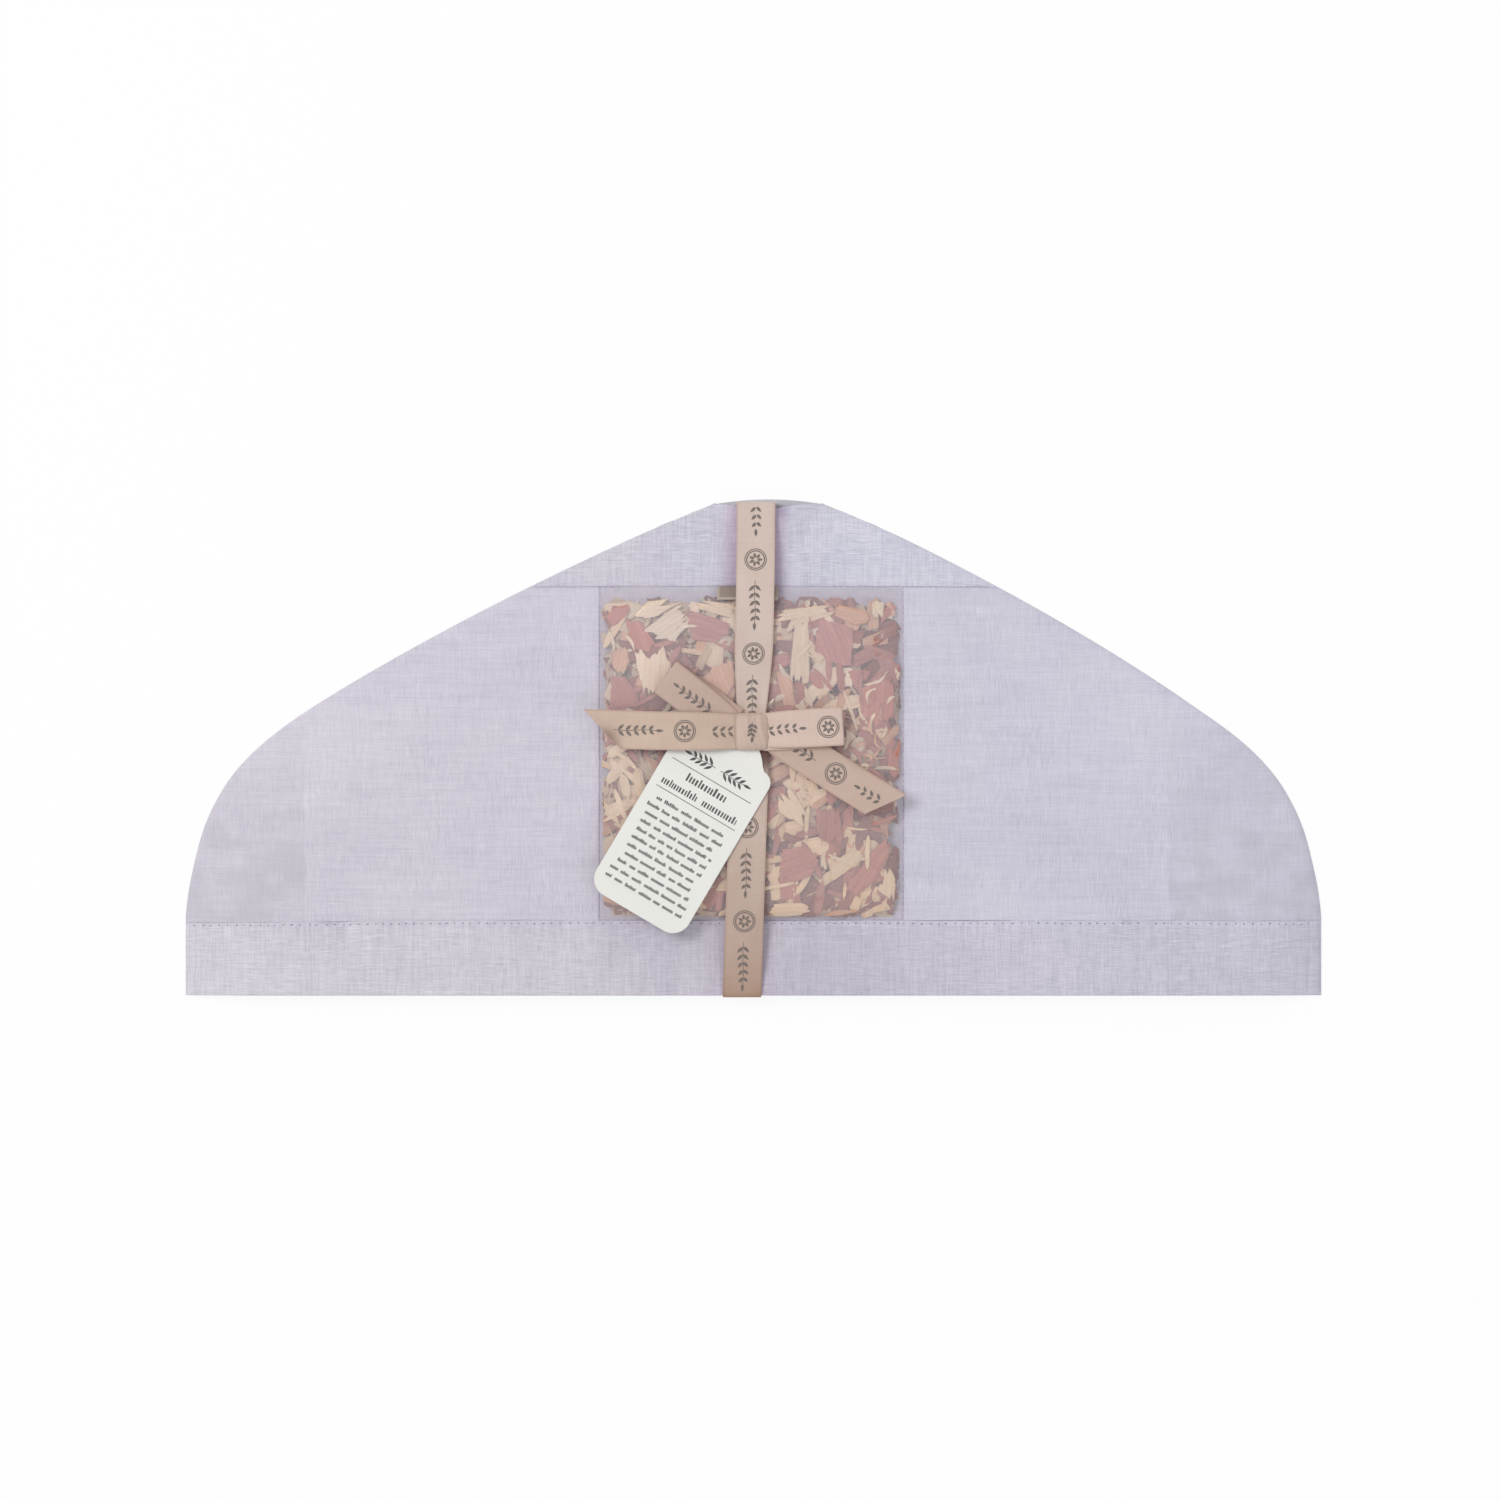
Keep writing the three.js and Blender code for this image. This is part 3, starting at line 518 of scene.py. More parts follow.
def satin_material():
    graph = finish("ribbon_satin", 0.5, Sheen_Weight=0.2, Sheen_Roughness=0.4, Specular_IOR_Level=0.35)
    along, across = graph.axes((1, 1))
    ribs = along.wave(RIB_PITCH).fade(-1.0, 1.0)
    picks = graph.noise((0.4, 22), 4.0, 2.0, 0.6)
    warp = graph.noise((14, 0.3), 9.0, 2.0, 0.55)
    soft = graph.noise((16, 9), 1.0)
    tone = weigh((ribs, 0.08), (picks, 0.6), (warp, 0.3), (soft, 0.6))
    satin = graph.blend(tone, srgb(190, 163, 149), srgb(216, 195, 182))
    satin = graph.blend(abs(across).fade(6.7, 7.5, 0.0, 0.5), satin, srgb(180, 150, 135))
    height = weigh((ribs, 0.5), (picks, 0.5), (warp, 0.4), (soft, 0.6))
    return graph.dressed(graph.shaded(satin), height, 0.07, 0.7)


def card_material():
    graph = finish("tag_card", 0.72, Specular_IOR_Level=0.3)
    fibre = graph.noise((0.9, 0.9, 0.9), 3.0, 4.0, 0.65)
    tone = weigh((fibre, 0.7), (graph.noise((14, 14, 14), 8.0), 0.5))
    return graph.dressed(graph.blend(tone, srgb(228, 227, 221), srgb(240, 240, 236)), fibre, 0.05, 0.5)


def ink_material(name, dark, light):
    graph = finish(name, 0.65, Specular_IOR_Level=0.25)
    wear = graph.noise((0.5, 0.5, 0.5), 5.0, 3.0, 0.6)
    return graph.dressed(graph.blend(wear.fade(0.35, 0.75), dark, light), wear, 0.02, 0.5)


def label_material():
    graph = finish("label", 0.7, Sheen_Weight=0.1, Specular_IOR_Level=0.25)
    along, across = graph.axes((1, 1))
    picks = along.wave(LABEL_PITCH).fade(-1.0, 1.0)
    yarn = graph.noise((0.3, 5), 3.0, 2.0, 0.6)
    tone = weigh((picks, 0.5), (yarn, 0.7), (graph.noise((4, 4), 6.0), 0.4))
    woven = graph.blend(tone, srgb(130, 115, 107), srgb(168, 154, 143))
    # The label's woven border is of lighter yarn, and the fold at its end is lighter too: a painted
    # highlight.
    border = abs(across).fade(11.1, 11.5, 0.0, 0.7)
    fold = abs(along - LABEL_LENGTH / MM).fade(0.7, 0.3, 0.0, 0.7)
    colour = graph.blend(border.larger(fold), woven, srgb(196, 182, 172))
    return graph.dressed(colour, weigh((picks, 0.8), (yarn, 0.6)), 0.06, 0.8)


def thread_material(name, dark, light):
    graph = finish(name, 0.7, Sheen_Weight=0.2, Specular_IOR_Level=0.3)
    twist = graph.noise((0.25, 0.25, 0.25), 2.0)
    return graph.dressed(graph.blend(twist, dark, light), twist, 0.03, 0.8)


sheer_silk = silk_material()
red_cedar = cedar_material("red_cedar", srgb(152, 91, 84), srgb(216, 153, 140), srgb(106, 60, 54))
pale_cedar = cedar_material("pale_cedar", srgb(218, 188, 160), srgb(252, 236, 216), srgb(192, 154, 126))
warm_cedar = cedar_material("warm_cedar", srgb(198, 142, 120), srgb(240, 202, 174), srgb(172, 114, 96))
ribbon_satin = satin_material()
tag_card = card_material()
ribbon_ink = ink_material("ribbon_ink", srgb(112, 104, 100), srgb(138, 124, 116))
card_ink = ink_material("card_ink", srgb(76, 76, 76), srgb(110, 110, 109))
label = label_material()
thread = thread_material("thread", srgb(142, 132, 158), srgb(176, 167, 190))
# The hems' stitches are the seam thread painted darker: the shade of the holes they sink into.
painted_shade_thread = thread_material("painted_shade_thread", srgb(112, 103, 128), srgb(146, 137, 162))


# Linen pieces
SIDE_SEAM_Z = 0.9 * MM
SEAM_VALLEY = 0.5 * MM
VALLEY_REACH = 1.1 * MM
SEAM_SIDE = 3.4 * MM
FLANK_FULLNESS = 0.8
NECK_DIPS = ((8.9 * MM, 1, 2.3 * MM, 5.5 * MM), (-7.0 * MM, -1, 0.9 * MM, 4 * MM))
NECK_REACH = 13 * MM
NECK_FOLD = 1.1 * MM
NECK_FOLD_X = 11.5 * MM
HEM_LINE_DROPS = (0.9 * MM, 0.2 * MM)
HEM_SEAM_SHARE = 0.35
PAINTED_SEAM_SHADE_TINT = np.array([1, 1.15, 0.85])


def belongs(piece, body, slot, *nodes):
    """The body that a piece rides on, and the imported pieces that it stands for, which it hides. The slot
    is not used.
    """
    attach(piece, body)
    if nodes:
        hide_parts(*nodes)


def undulation(x, y):
    """Unevenness of the pressed cloth, held down where the ribbon slides over it."""
    waves = 0.16 * value_noise(x, y, 30 * MM, 11) + 0.07 * value_noise(x, y, 9 * MM, 12)
    ripples = 0.035 * value_noise(x * 0.25, y, 1.6 * MM, 13)
    under_ribbon = smoothstep(26 * MM, 18 * MM, np.abs(x - 4 * MM))
    return (waves + ripples - 0.16 * under_ribbon) * MM


def pucker(along, away, seed):
    """Small gathers that a line of stitches draws in, along a seam and away from it."""
    gathers = value_noise(along, along * 0, 5.5 * MM, seed)
    gathers = gathers + 0.6 * value_noise(along, along * 0, 2.3 * MM, seed + 1)
    return 0.13 * MM * gathers * np.exp(-away / (5 * MM))


def round_edge(away, radius):
    """Height share of a rounded edge, from 0 at the edge to 1 a radius inside it."""
    inside = np.clip(away / radius, 0, 1)
    return np.sqrt(np.maximum(1 - (1 - inside) ** 2, 0))


def down_to_sides(x, y, z):
    """A front surface, brought down to the seam at the cover's sides."""
    return SIDE_SEAM_Z + (z - SIDE_SEAM_Z) * round_edge(seam_distance(x, y), SEAM_SIDE) ** FLANK_FULLNESS


def neck_dip(x):
    """How far the ribbon, drawn tight, pulls the front's neckline down on either side of it."""
    dip = np.zeros(np.shape(x))
    for start, side, depth, reach in NECK_DIPS:
        away = (x - start) * side
        dip += depth * smoothstep(-0.4 * MM, 0.6 * MM, away) * np.exp(-np.maximum(away, 0) / reach)
    return dip


def hem_line(x):
    """Height of the seam between panels and hem, which falls a little towards the sides."""
    drop = np.where(x < 0, *HEM_LINE_DROPS)
    return HEM_SEAM_Y - drop * smoothstep(110 * MM, COVER_HALF, np.abs(x))


def constant(value):
    return lambda y: np.full(np.shape(y), value)


# Regions of the plan that the pieces are cut for: low and high edge, left and right edge by height
HEM = (HEM_Y, HEM_SEAM_Y, left_edge, right_edge)
YOKE = (YOKE_SEAM_Y, NECK_Y, left_edge, right_edge)
BACK = (HEM_SEAM_Y, NECK_Y, left_edge, right_edge)
LEFT_PANEL = (HEM_SEAM_Y, YOKE_SEAM_Y, left_edge, constant(WINDOW_LEFT))
RIGHT_PANEL = (HEM_SEAM_Y, YOKE_SEAM_Y, constant(WINDOW_RIGHT), right_edge)
WINDOW = (HEM_SEAM_Y, YOKE_SEAM_Y, constant(WINDOW_LEFT), constant(WINDOW_RIGHT))


def plan_grid(region, column_shares, row_shares):
    low_y, high_y, left, right = region
    rows = low_y + (high_y - low_y) * np.asarray(row_shares)
    starts, ends = left(rows), right(rows)
    x = starts[:, None] + (ends - starts)[:, None] * np.asarray(column_shares)[None, :]
    return x, np.repeat(rows[:, None], len(column_shares), 1)


def lay_cloth(name, node, region, points, thickness, material, shade=None):
    """A piece of the cover through the points, standing for an imported piece. Its flat size and area are
    worked out from the region and not used.
    """
    piece = closed_sheet(name, np.stack(points, -1), thickness, material, shade=shade)
    low_y, high_y, left, right = region
    heights = np.linspace(low_y, high_y, 200)
    width = float(np.max(right(heights)) - np.min(left(heights)))
    area = float(np.mean(right(heights) - left(heights)) * (high_y - low_y))
    belongs(piece, "cover", material["slot"], node)
    high_y - low_y


# Painted shade: the cloth darkened by the given share, towards violet.
def painted_seam_shade(dark):
    return np.array([1, 1, 1]) - dark[..., None] * PAINTED_SEAM_SHADE_TINT


def front_piece(name, node, region, columns, rows, material, seams):
    """A piece of the front. A seam is its axis, its place on that axis and how deep it is, as a share."""
    low_y, high_y = region[:2]
    x, y = plan_grid(region, columns, rows)
    dip = neck_dip(x) * smoothstep(NECK_Y - NECK_REACH, NECK_Y, y)
    fold = np.exp(-(((x - NECK_FOLD_X) / (3.2 * MM)) ** 2)) * smoothstep(NECK_Y - 9 * MM, NECK_Y - 1 * MM, y)
    z = front_lower(x, y) + LINEN + undulation(x, y) - NECK_FOLD * fold
    y = y - dip
    if low_y == HEM_SEAM_Y:
        y = y + (hem_line(x) - HEM_SEAM_Y) * (1 - (y - low_y) / (high_y - low_y)) ** 3
    nearest = np.full(x.shape, np.inf)
    for seed, (axis, line, share) in enumerate(seams):
        away, along = (np.abs(x - line), y) if axis == "x" else (np.abs(y - line), x)
        z += pucker(along, away, 21 + 2 * seed)
        z -= SEAM_VALLEY * share * (1 - round_edge(away, VALLEY_REACH))
        nearest = np.minimum(nearest, away + (1 - share) * 2 * MM)
    # Painted shade in the seam valleys and in the neckline's fold.
    shade = painted_seam_shade(0.07 * np.exp(-nearest / (0.9 * MM)) + 0.2 * fold)
    lay_cloth(name, node, region, [x, y, down_to_sides(x, y, z)], CLOTH, material, shade)


def linen_front():
    rows = shares(96, 0.012, 0.012)
    yoke_seam, hem_seam = ("y", YOKE_SEAM_Y, 1.0), ("y", HEM_SEAM_Y, HEM_SEAM_SHARE)
    front_piece(
        "linen_front_left", "front_left_panel", LEFT_PANEL, shares(126, 0.03, 0.01), rows, linen,
        [("x", WINDOW_LEFT, 1.0), yoke_seam, hem_seam],
    )
    front_piece(
        "linen_front_right", "front_right_panel", RIGHT_PANEL, shares(126, 0.01, 0.03), rows, linen,
        [("x", WINDOW_RIGHT, 1.0), yoke_seam, hem_seam],
    )
    front_piece(
        "linen_yoke", "front_yoke", YOKE, shares(190, 0.03, 0.03), shares(40, 0.05, 0.08),
        linen_cross_grain, [yoke_seam],
    )


def hem_top(x):
    """The hem's turned edge, which wanders a little."""
    return hem_line(x) + 0.12 * MM * value_noise(x, x * 0, 14 * MM, 31)


def doubled_cloth(y, top, top_radius):
    """How thick a hem is between its lower edge and its top, both of which are round."""
    rounding = np.minimum(round_edge(y - HEM_Y, 0.7 * MM), round_edge(top - y, top_radius))
    return HEM_THICKNESS * np.maximum(rounding, 0.15)


def hem_point(x, y):
    """Top of the front hem band and how thick the doubled cloth is there."""
    top = hem_top(x)
    thickness = doubled_cloth(y, top, 0.45 * MM)
    middle = front_lower(x, y) + HEM_THICKNESS / 2 + undulation(x, y)
    middle += pucker(x, np.abs(top - 2 * MM - y), 33)
    return down_to_sides(x, y, middle + thickness / 2), thickness


def linen_hems():
    columns, rows = shares(300, 0.02, 0.02), shares(30, 0.05, 0.05)
    x, level = plan_grid(HEM, columns, rows)
    y = HEM_Y + (level - HEM_Y) * (hem_top(x) - HEM_Y) / (HEM_SEAM_Y - HEM_Y)
    z, thickness = hem_point(x, y)
    # Painted shade just under the hem's turned edge.
    shade = painted_seam_shade(0.03 * np.exp(-(hem_top(x) - y) / (0.7 * MM)))
    lay_cloth(
        "linen_hem_front", "front_hem_band", HEM, [x, y, z], thickness, linen_cross_grain,
        shade,
    )
    thickness = doubled_cloth(level, HEM_SEAM_Y, 0.8 * MM)
    z = HEM_THICKNESS / 2 + thickness / 2 + 0.1 * MM * (1 - round_edge(seam_distance(x, level), SEAM_SIDE))
    lay_cloth(
        "linen_hem_back", "back_hem_band", HEM, [x, level, z], thickness, back_linen_cross_grain
    )


def linen_back():
    x, y = plan_grid(BACK, shares(200, 0.02, 0.02), shares(100, 0.012, 0.02))
    neck_bow = corner("back_panel", 1, "y") - NECK_Y
    bow = neck_bow * np.maximum(1 - ((x - OPENING_X) / OPENING_HALF) ** 2, 0)
    y = y + bow * smoothstep(NECK_Y - 12 * MM, NECK_Y, y)
    flank = seam_distance(x, np.minimum(y, NECK_Y))
    lift = 0.12 * MM * (1 + value_noise(x, y, 24 * MM, 41)) * round_edge(y - HEM_SEAM_Y, 4 * MM)
    z = CLOTH + lift + (SIDE_SEAM_Z - CLOTH) * (1 - round_edge(flank, SEAM_SIDE))
    strip = smoothstep(NECK_Y - 5 * MM, NECK_Y - 1 * MM, y)[..., None]
    shade = lerp(np.array([1, 1, 1]), np.array([1.03, 1.05, 0.98]), strip)
    lay_cloth("linen_back", "back_panel", BACK, [x, y, z], CLOTH, back_linen, shade)


def linen_inner():
    for side, sign, edge in (("left", -1, left_edge), ("right", 1, right_edge)):
        node = f"{side}_side_facing"
        low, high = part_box(node)
        inner, outmost = (high.x, low.x) if sign < 0 else (low.x, high.x)
        inset = abs(outmost - edge(np.array([HEM_Y]))[0])

        def outer(y):
            return edge(y) - sign * inset

        region = (low.y, high.y, *((outer, constant(inner)) if sign < 0 else (constant(inner), outer)))
        x, y = plan_grid(region, shares(30), shares(40))
        z = front_lower(x, y) - CLEARANCE - 0.1 * MM + np.minimum(undulation(x, y), 0)
        lay_cloth(f"linen_facing_{side}", node, region, [x, y, z], 0.3 * MM, inner_linen)

    x, y = plan_grid(WINDOW, shares(70), shares(76))
    z = front_lower(x, y) + 0.2 * MM + 0.05 * MM * value_noise(x, y, 12 * MM, 45)
    lay_cloth(
        "linen_window_lining", "window_lining", WINDOW, [x, y, z], 0.35 * MM, inner_linen
    )


# Thread
THREAD_RADIUS = 0.13 * MM
DITCH_STITCH = 2.2 * MM
DITCH_GAP = 0.35 * MM
DITCH_WANDER = 0.05 * MM
PICK_STITCH = 0.85 * MM
PICK_GAP = 2.5 * MM
PICK_INSET = 1.15 * MM
PICK_RADIUS = 0.2 * MM
PICK_WANDER = 0.12 * MM


def tube_faces(rings, sides, first=0):
    """Faces of a closed tube, whose points are given ring by ring."""
    at = np.arange(rings * sides).reshape(rings, sides) + first
    after = np.roll(at, -1, 1)
    faces = np.stack([at[:-1], after[:-1], after[1:], at[1:]], -1).reshape(-1, 4).tolist()
    return faces + [at[0, ::-1].tolist(), at[-1].tolist()]


def stitch(start, end, radius, sides=6):
    """One stitch of thread, plump in the middle and sunk into the cloth at both ends."""
    share = np.array([0, 0.08, 0.3, 0.5, 0.7, 0.92, 1])
    line = start + (end - start) * share[:, None]
    arch = np.sin(share * math.pi) ** 0.5
    line[:, 2] += radius * (1.1 * arch - 0.7)
    run = (end - start) / np.linalg.norm(end - start)
    side = np.cross(run, [0, 0, 1])
    up = np.cross(side, run)
    turns = np.arange(sides) * TAU / sides
    rings = np.cos(turns)[:, None] * side + np.sin(turns)[:, None] * up
    reach = radius * np.maximum(arch, 0.35)
    return line[:, None] + rings[None] * reach[:, None, None]


def stitch_ends(path, length, gap, generator, wander):
    """Starts and ends of stitches, set one after another along a path of points."""
    path = np.array(path)
    run = np.concatenate([[0], np.cumsum(np.linalg.norm(np.diff(path, axis=0), axis=1))])
    places, place = [], gap
    while place + length < run[-1]:
        reach = length * generator.uniform(0.85, 1.12)
        places.append((place, place + reach))
        place += reach + gap * generator.uniform(0.7, 1.3)
    ends = []
    for places_at_end in np.array(places).T:
        ends.append(np.stack([np.interp(places_at_end, run, path[:, axis]) for axis in range(3)], -1))
    for end in ends:
        end[:, :2] += generator.normal(0, wander, (len(end), 2))
    return ends


def sew(name, paths, length, gap, wander, radius, generator, material):
    """Stitches of one thread along each of the paths."""
    vertices, faces, count = [], [], 0
    for starts, ends in [stitch_ends(path, length, gap, generator, wander) for path in paths]:
        for start, end in zip(starts, ends):
            tube = stitch(start, end, radius)
            faces += tube_faces(*tube.shape[:2], count)
            vertices.append(tube.reshape(-1, 3))
            count += len(vertices[-1])
    belongs(link_mesh(name, np.concatenate(vertices), faces, material), "cover", "linen")


def seam_stitches():
    """Thread in the seams of the front, and the small hand stitches that hold the hems."""
    generator = np.random.default_rng(505)

    def in_seam(x, y):
        x, y = np.broadcast_arrays(np.asarray(x, float), np.asarray(y, float))
        z = front_lower(x, y) + LINEN - SEAM_VALLEY + undulation(x, y) + 0.08 * MM
        return np.stack([x, y, down_to_sides(x, y, z)], -1)

    seam_y = np.array([YOKE_SEAM_Y])
    across = np.linspace(left_edge(seam_y)[0] + 1 * MM, right_edge(seam_y)[0] - 1 * MM, 160)
    up = np.linspace(HEM_SEAM_Y + 0.6 * MM, YOKE_SEAM_Y - 0.6 * MM, 120)
    wide = np.linspace(-COVER_HALF + 0.8 * MM, COVER_HALF - 0.8 * MM, 320)
    paths = [in_seam(across, YOKE_SEAM_Y), in_seam(WINDOW_LEFT, up), in_seam(WINDOW_RIGHT, up)]
    sew("seam_thread", paths, DITCH_STITCH, DITCH_GAP, DITCH_WANDER, THREAD_RADIUS, generator, thread)

    pick_y = hem_top(wide) - PICK_INSET
    front = np.stack([wide, pick_y, hem_point(wide, pick_y)[0] + 0.03 * MM], -1)
    back = np.stack([wide, wide * 0 + HEM_SEAM_Y - PICK_INSET, wide * 0 + 0.09 * MM], -1)
    for side, path, radius in (("front", front, PICK_RADIUS), ("back", back, THREAD_RADIUS)):
        name = f"hem_stitches_{side}"
        sew(name, [path], PICK_STITCH, PICK_GAP, PICK_WANDER, radius, generator, painted_shade_thread)


linen_front()
linen_hems()
linen_back()
linen_inner()
seam_stitches()


# Cedar filling
GROUND_CELL = 0.7 * MM
CHIP_SHARP = 38
POCKET_INSETS = (1.3 * MM, 2.0 * MM, 1.9 * MM)
POCKET_CORNER = 6 * MM
POCKET_WANDER = 0.9 * MM
CHIP_TEAR = 0.5 * MM
BULK_TEAR = 0.35 * MM
PALE_TEAR = 1.3 * MM
CHIP_UNDER_SILK = 0.7 * MM
LARGE_CHIP = 0.95 * MM
STEEPEST_CHIP = 0.28
BURIED = 0.2 * MM
chip_random = np.random.default_rng(2028)


def chip_shape(outline, spacing, tear=CHIP_TEAR):
    """Rows of points along a chip's grain, cut off at its outline, with split and torn ends."""
    centre = outline.mean(0)
    axes = np.linalg.eigh(np.cov((outline - centre).T))[1]
    along_axis, across_axis = axes[:, 1], axes[:, 0]
    local = (outline - centre) @ np.stack([along_axis, across_axis], -1)
    low, high = local[:, 1].min(), local[:, 1].max()
    rows = max(int((high - low) / spacing) + 1, 4)
    margin = 0.02 * (high - low)
    levels = np.linspace(low + margin, high - margin, rows)
    following = np.roll(local, -1, 0)
    ends = []
    for level in levels:
        crossings = []
        for start, end in zip(local, following):
            if (start[1] - level) * (end[1] - level) < 0:
                share = (level - start[1]) / (end[1] - start[1])
                crossings.append(start[0] + share * (end[0] - start[0]))
        ends.append((min(crossings), max(crossings)) if crossings else ends[-1])
    ends = np.array(ends)
    reach = np.minimum(tear, 0.16 * (ends[:, 1:] - ends[:, :1]))
    ends = ends + chip_random.normal(0, 1, ends.shape) * reach
    columns = max(int((ends[:, 1] - ends[:, 0]).max() / (spacing * 1.6)) + 1, 4)
    along = ends[:, :1] + (ends[:, 1:] - ends[:, :1]) * np.linspace(0, 1, columns)[None, :]
    seed = int(chip_random.integers(1000))
    across = levels[:, None] + 0.2 * MM * value_noise(along, levels[:, None] + along * 0, 5 * MM, seed)
    plan = centre + along[..., None] * along_axis + across[..., None] * across_axis
    return plan, along, np.broadcast_to(levels[:, None], along.shape)


class Heap:
    """Thin solids of one finish, gathered into one mesh."""

    def __init__(self, name, material):
        self.name, self.material = name, material
        self.vertices, self.faces, self.uv, self.shade = [], [], [], []
        self.count = 0

    def add(self, top, thickness, along, across, shade=(1, 1, 1)):
        rows, columns = top.shape[:2]
        normals = grid_normals(top)
        normals = np.where(normals[..., 2:] < 0, -normals, normals)
        lower = top - normals * np.broadcast_to(thickness, (rows, columns))[..., None]
        flip = np.cross(top[0, 1] - top[0, 0], top[1, 0] - top[0, 0])[2] < 0
        faces = grid_faces(rows, columns)
        self.faces.append((faces[:, ::-1] if flip else faces) + self.count)
        self.vertices += [top.reshape(-1, 3), lower.reshape(-1, 3)]
        uv = np.stack([along, across], -1).reshape(-1, 2) / MM
        self.uv += [uv, uv + 0.7]
        self.shade.append(np.tile(shade, (2 * rows * columns, 1)))
        self.count += 2 * rows * columns

    def build(self):
        vertices, faces, uv, shade = map(np.concatenate, (self.vertices, self.faces, self.uv, self.shade))
        return link_mesh(self.name, vertices, faces, self.material, uv, shade, CHIP_SHARP)


class Ground:
    """Height of the filling over the pocket, as a raster that grows as chips are laid on it."""

    def __init__(self, cell):
        self.x = np.arange(WINDOW_LEFT, WINDOW_RIGHT + cell, cell)
        self.y = np.arange(HEM_SEAM_Y, YOKE_SEAM_Y + cell, cell)
        self.cell = cell
        x, y = np.meshgrid(self.x, self.y)
        self.height = front_lower(x, y) + LINING
        self.base = self.height.copy()
        self.limit = silk_limit(x, y)

    def cells(self, plan):
        column = np.clip(np.round((plan[..., 0] - self.x[0]) / self.cell).astype(int), 0, len(self.x) - 1)
        row = np.clip(np.round((plan[..., 1] - self.y[0]) / self.cell).astype(int), 0, len(self.y) - 1)
        return row, column

    def raise_to(self, plan, top):
        """Points and the middles between them, so that no cell under a chip is missed."""
        rows, columns = plan.shape[:2]
        for rise in (0, 1):
            for run in (0, 1):
                a, b = slice(0, rows - rise), slice(0, columns - run)
                c, d = slice(rise, rows), slice(run, columns)
                row, column = self.cells((plan[a, b] + plan[c, d]) / 2)
                np.maximum.at(self.height, (row, column), (top[a, b] + top[c, d]) / 2)


ground = Ground(GROUND_CELL)
cedars = {"red": red_cedar, "pale": pale_cedar, "warm": warm_cedar}
heaps = {kind: Heap(f"cedar_chips_{kind}", cedar) for kind, cedar in cedars.items()}


def chip_tint(kind, depth, dim_share):
    """A chip's tone: some chips are dim and the rest more or less bright, and chips deep in the filling are
    darkened by painted shade.
    """
    dim, bright = chip_random.uniform(0.58, 0.76), chip_random.uniform(0.86, 1.14)
    light = chip_random.choice([dim, bright], p=[dim_share, 1 - dim_share]) * (1 - depth)
    warm = chip_random.normal(0, 0.05)
    if kind == "red":
        return np.clip(np.array([light + warm, light, light - 0.8 * warm]), 0, 1.2)
    light = 0.45 + 0.55 * light
    return np.clip(np.array([light, light - 0.02 + 0.5 * warm, light - 0.05 + warm]), 0, 1.2)


def resting_height(plan, thickness):
    """Top of a chip that lies tilted on what is under it."""
    row, column = ground.cells(plan)
    under = ground.height[row, column]
    middle = plan.reshape(-1, 2).mean(0)
    design = np.column_stack([np.ones(under.size), plan.reshape(-1, 2) - middle])
    slope = np.linalg.lstsq(design, under.ravel(), rcond=None)[0][1:]
    slope = slope * min(1, STEEPEST_CHIP / max(np.hypot(*slope), 1e-6))
    plane = (plan - middle) @ slope
    return np.quantile(under - plane, 0.8) + plane + thickness


def lay_chip(kind, shape, thickness, headroom, height_at=None, curl=0.0, depth=0.0, dim_share=0.0):
    """Lays a chip on the filling, or at a given height. One that would be buried is left out."""
    plan, along, across = shape
    row, column = ground.cells(plan)
    top = resting_height(plan, thickness) if height_at is None else height_at(plan[..., 0], plan[..., 1])
    span = np.ptp(along) + 1e-9
    bow = curl * (2 * along / span) ** 2
    grain = value_noise(along * 0.3, across + along * 0, 1.2 * MM, int(chip_random.integers(1000)))
    ridges = chip_random.normal(0, 0.05 * MM, (top.shape[0], 1)) + 0.05 * MM * grain
    top = np.minimum(top + bow + ridges, ground.limit[row, column] - headroom)
    top = np.maximum(top, ground.base[row, column] + 0.05 * MM)
    if height_at is None and np.mean(top - ground.height[row, column]) < -BURIED:
        return
    rim = np.ones(top.shape)
    rim[[0, -1], :] = 0.55
    rim[:, [0, -1]] = 0.6
    points = np.stack([plan[..., 0], plan[..., 1], top - (1 - rim) * 0.3 * thickness], -1)
    heaps[kind].add(points, thickness * rim, along, across, chip_tint(kind, depth, dim_share))
    ground.raise_to(plan, top)


def turned(points, turn, centre):
    spin = np.array([[math.cos(turn), -math.sin(turn)], [math.sin(turn), math.cos(turn)]])
    return np.asarray(points) @ spin.T + centre


def random_outline(centre, length, width, turn):
    """A split chip in plan: two sides nearly along the grain, ends cut or broken."""
    uniform = chip_random.uniform
    half_length, half_width = length / 2, width / 2
    corners = []
    for end in (-1, 1):
        slant = uniform(-0.35, 0.35) * length
        corners.append((end * half_length + slant * 0.5, -end * half_width * uniform(0.6, 1)))
        if chip_random.random() < 0.5:
            corners.append((end * half_length * uniform(1.0, 1.2), uniform(-0.3, 0.3) * width))
        corners.append((end * half_length - slant * 0.5, end * half_width * uniform(0.6, 1)))
    return turned(corners, turn, centre)


def pocket_place(inset):
    """A random place in the pocket, clear of its rounded corners."""
    while True:
        x = chip_random.uniform(WINDOW_LEFT + inset, WINDOW_RIGHT - inset)
        y = chip_random.uniform(HEM_SEAM_Y + inset, POCKET_TOP - inset * 0.6)
        side = max(abs(x - WINDOW_MIDDLE) - (WINDOW_HALF - inset - POCKET_CORNER), 0)
        end = max(abs(y - POCKET_MIDDLE) - (POCKET_HALF_HEIGHT - inset - POCKET_CORNER), 0)
        if math.hypot(side, end) < POCKET_CORNER:
            return np.array([x, y])


def wander(place, seed):
    """How far the filling's edge strays at a place along it."""
    return POCKET_WANDER * value_noise(place, place * 0, 6 * MM, seed)


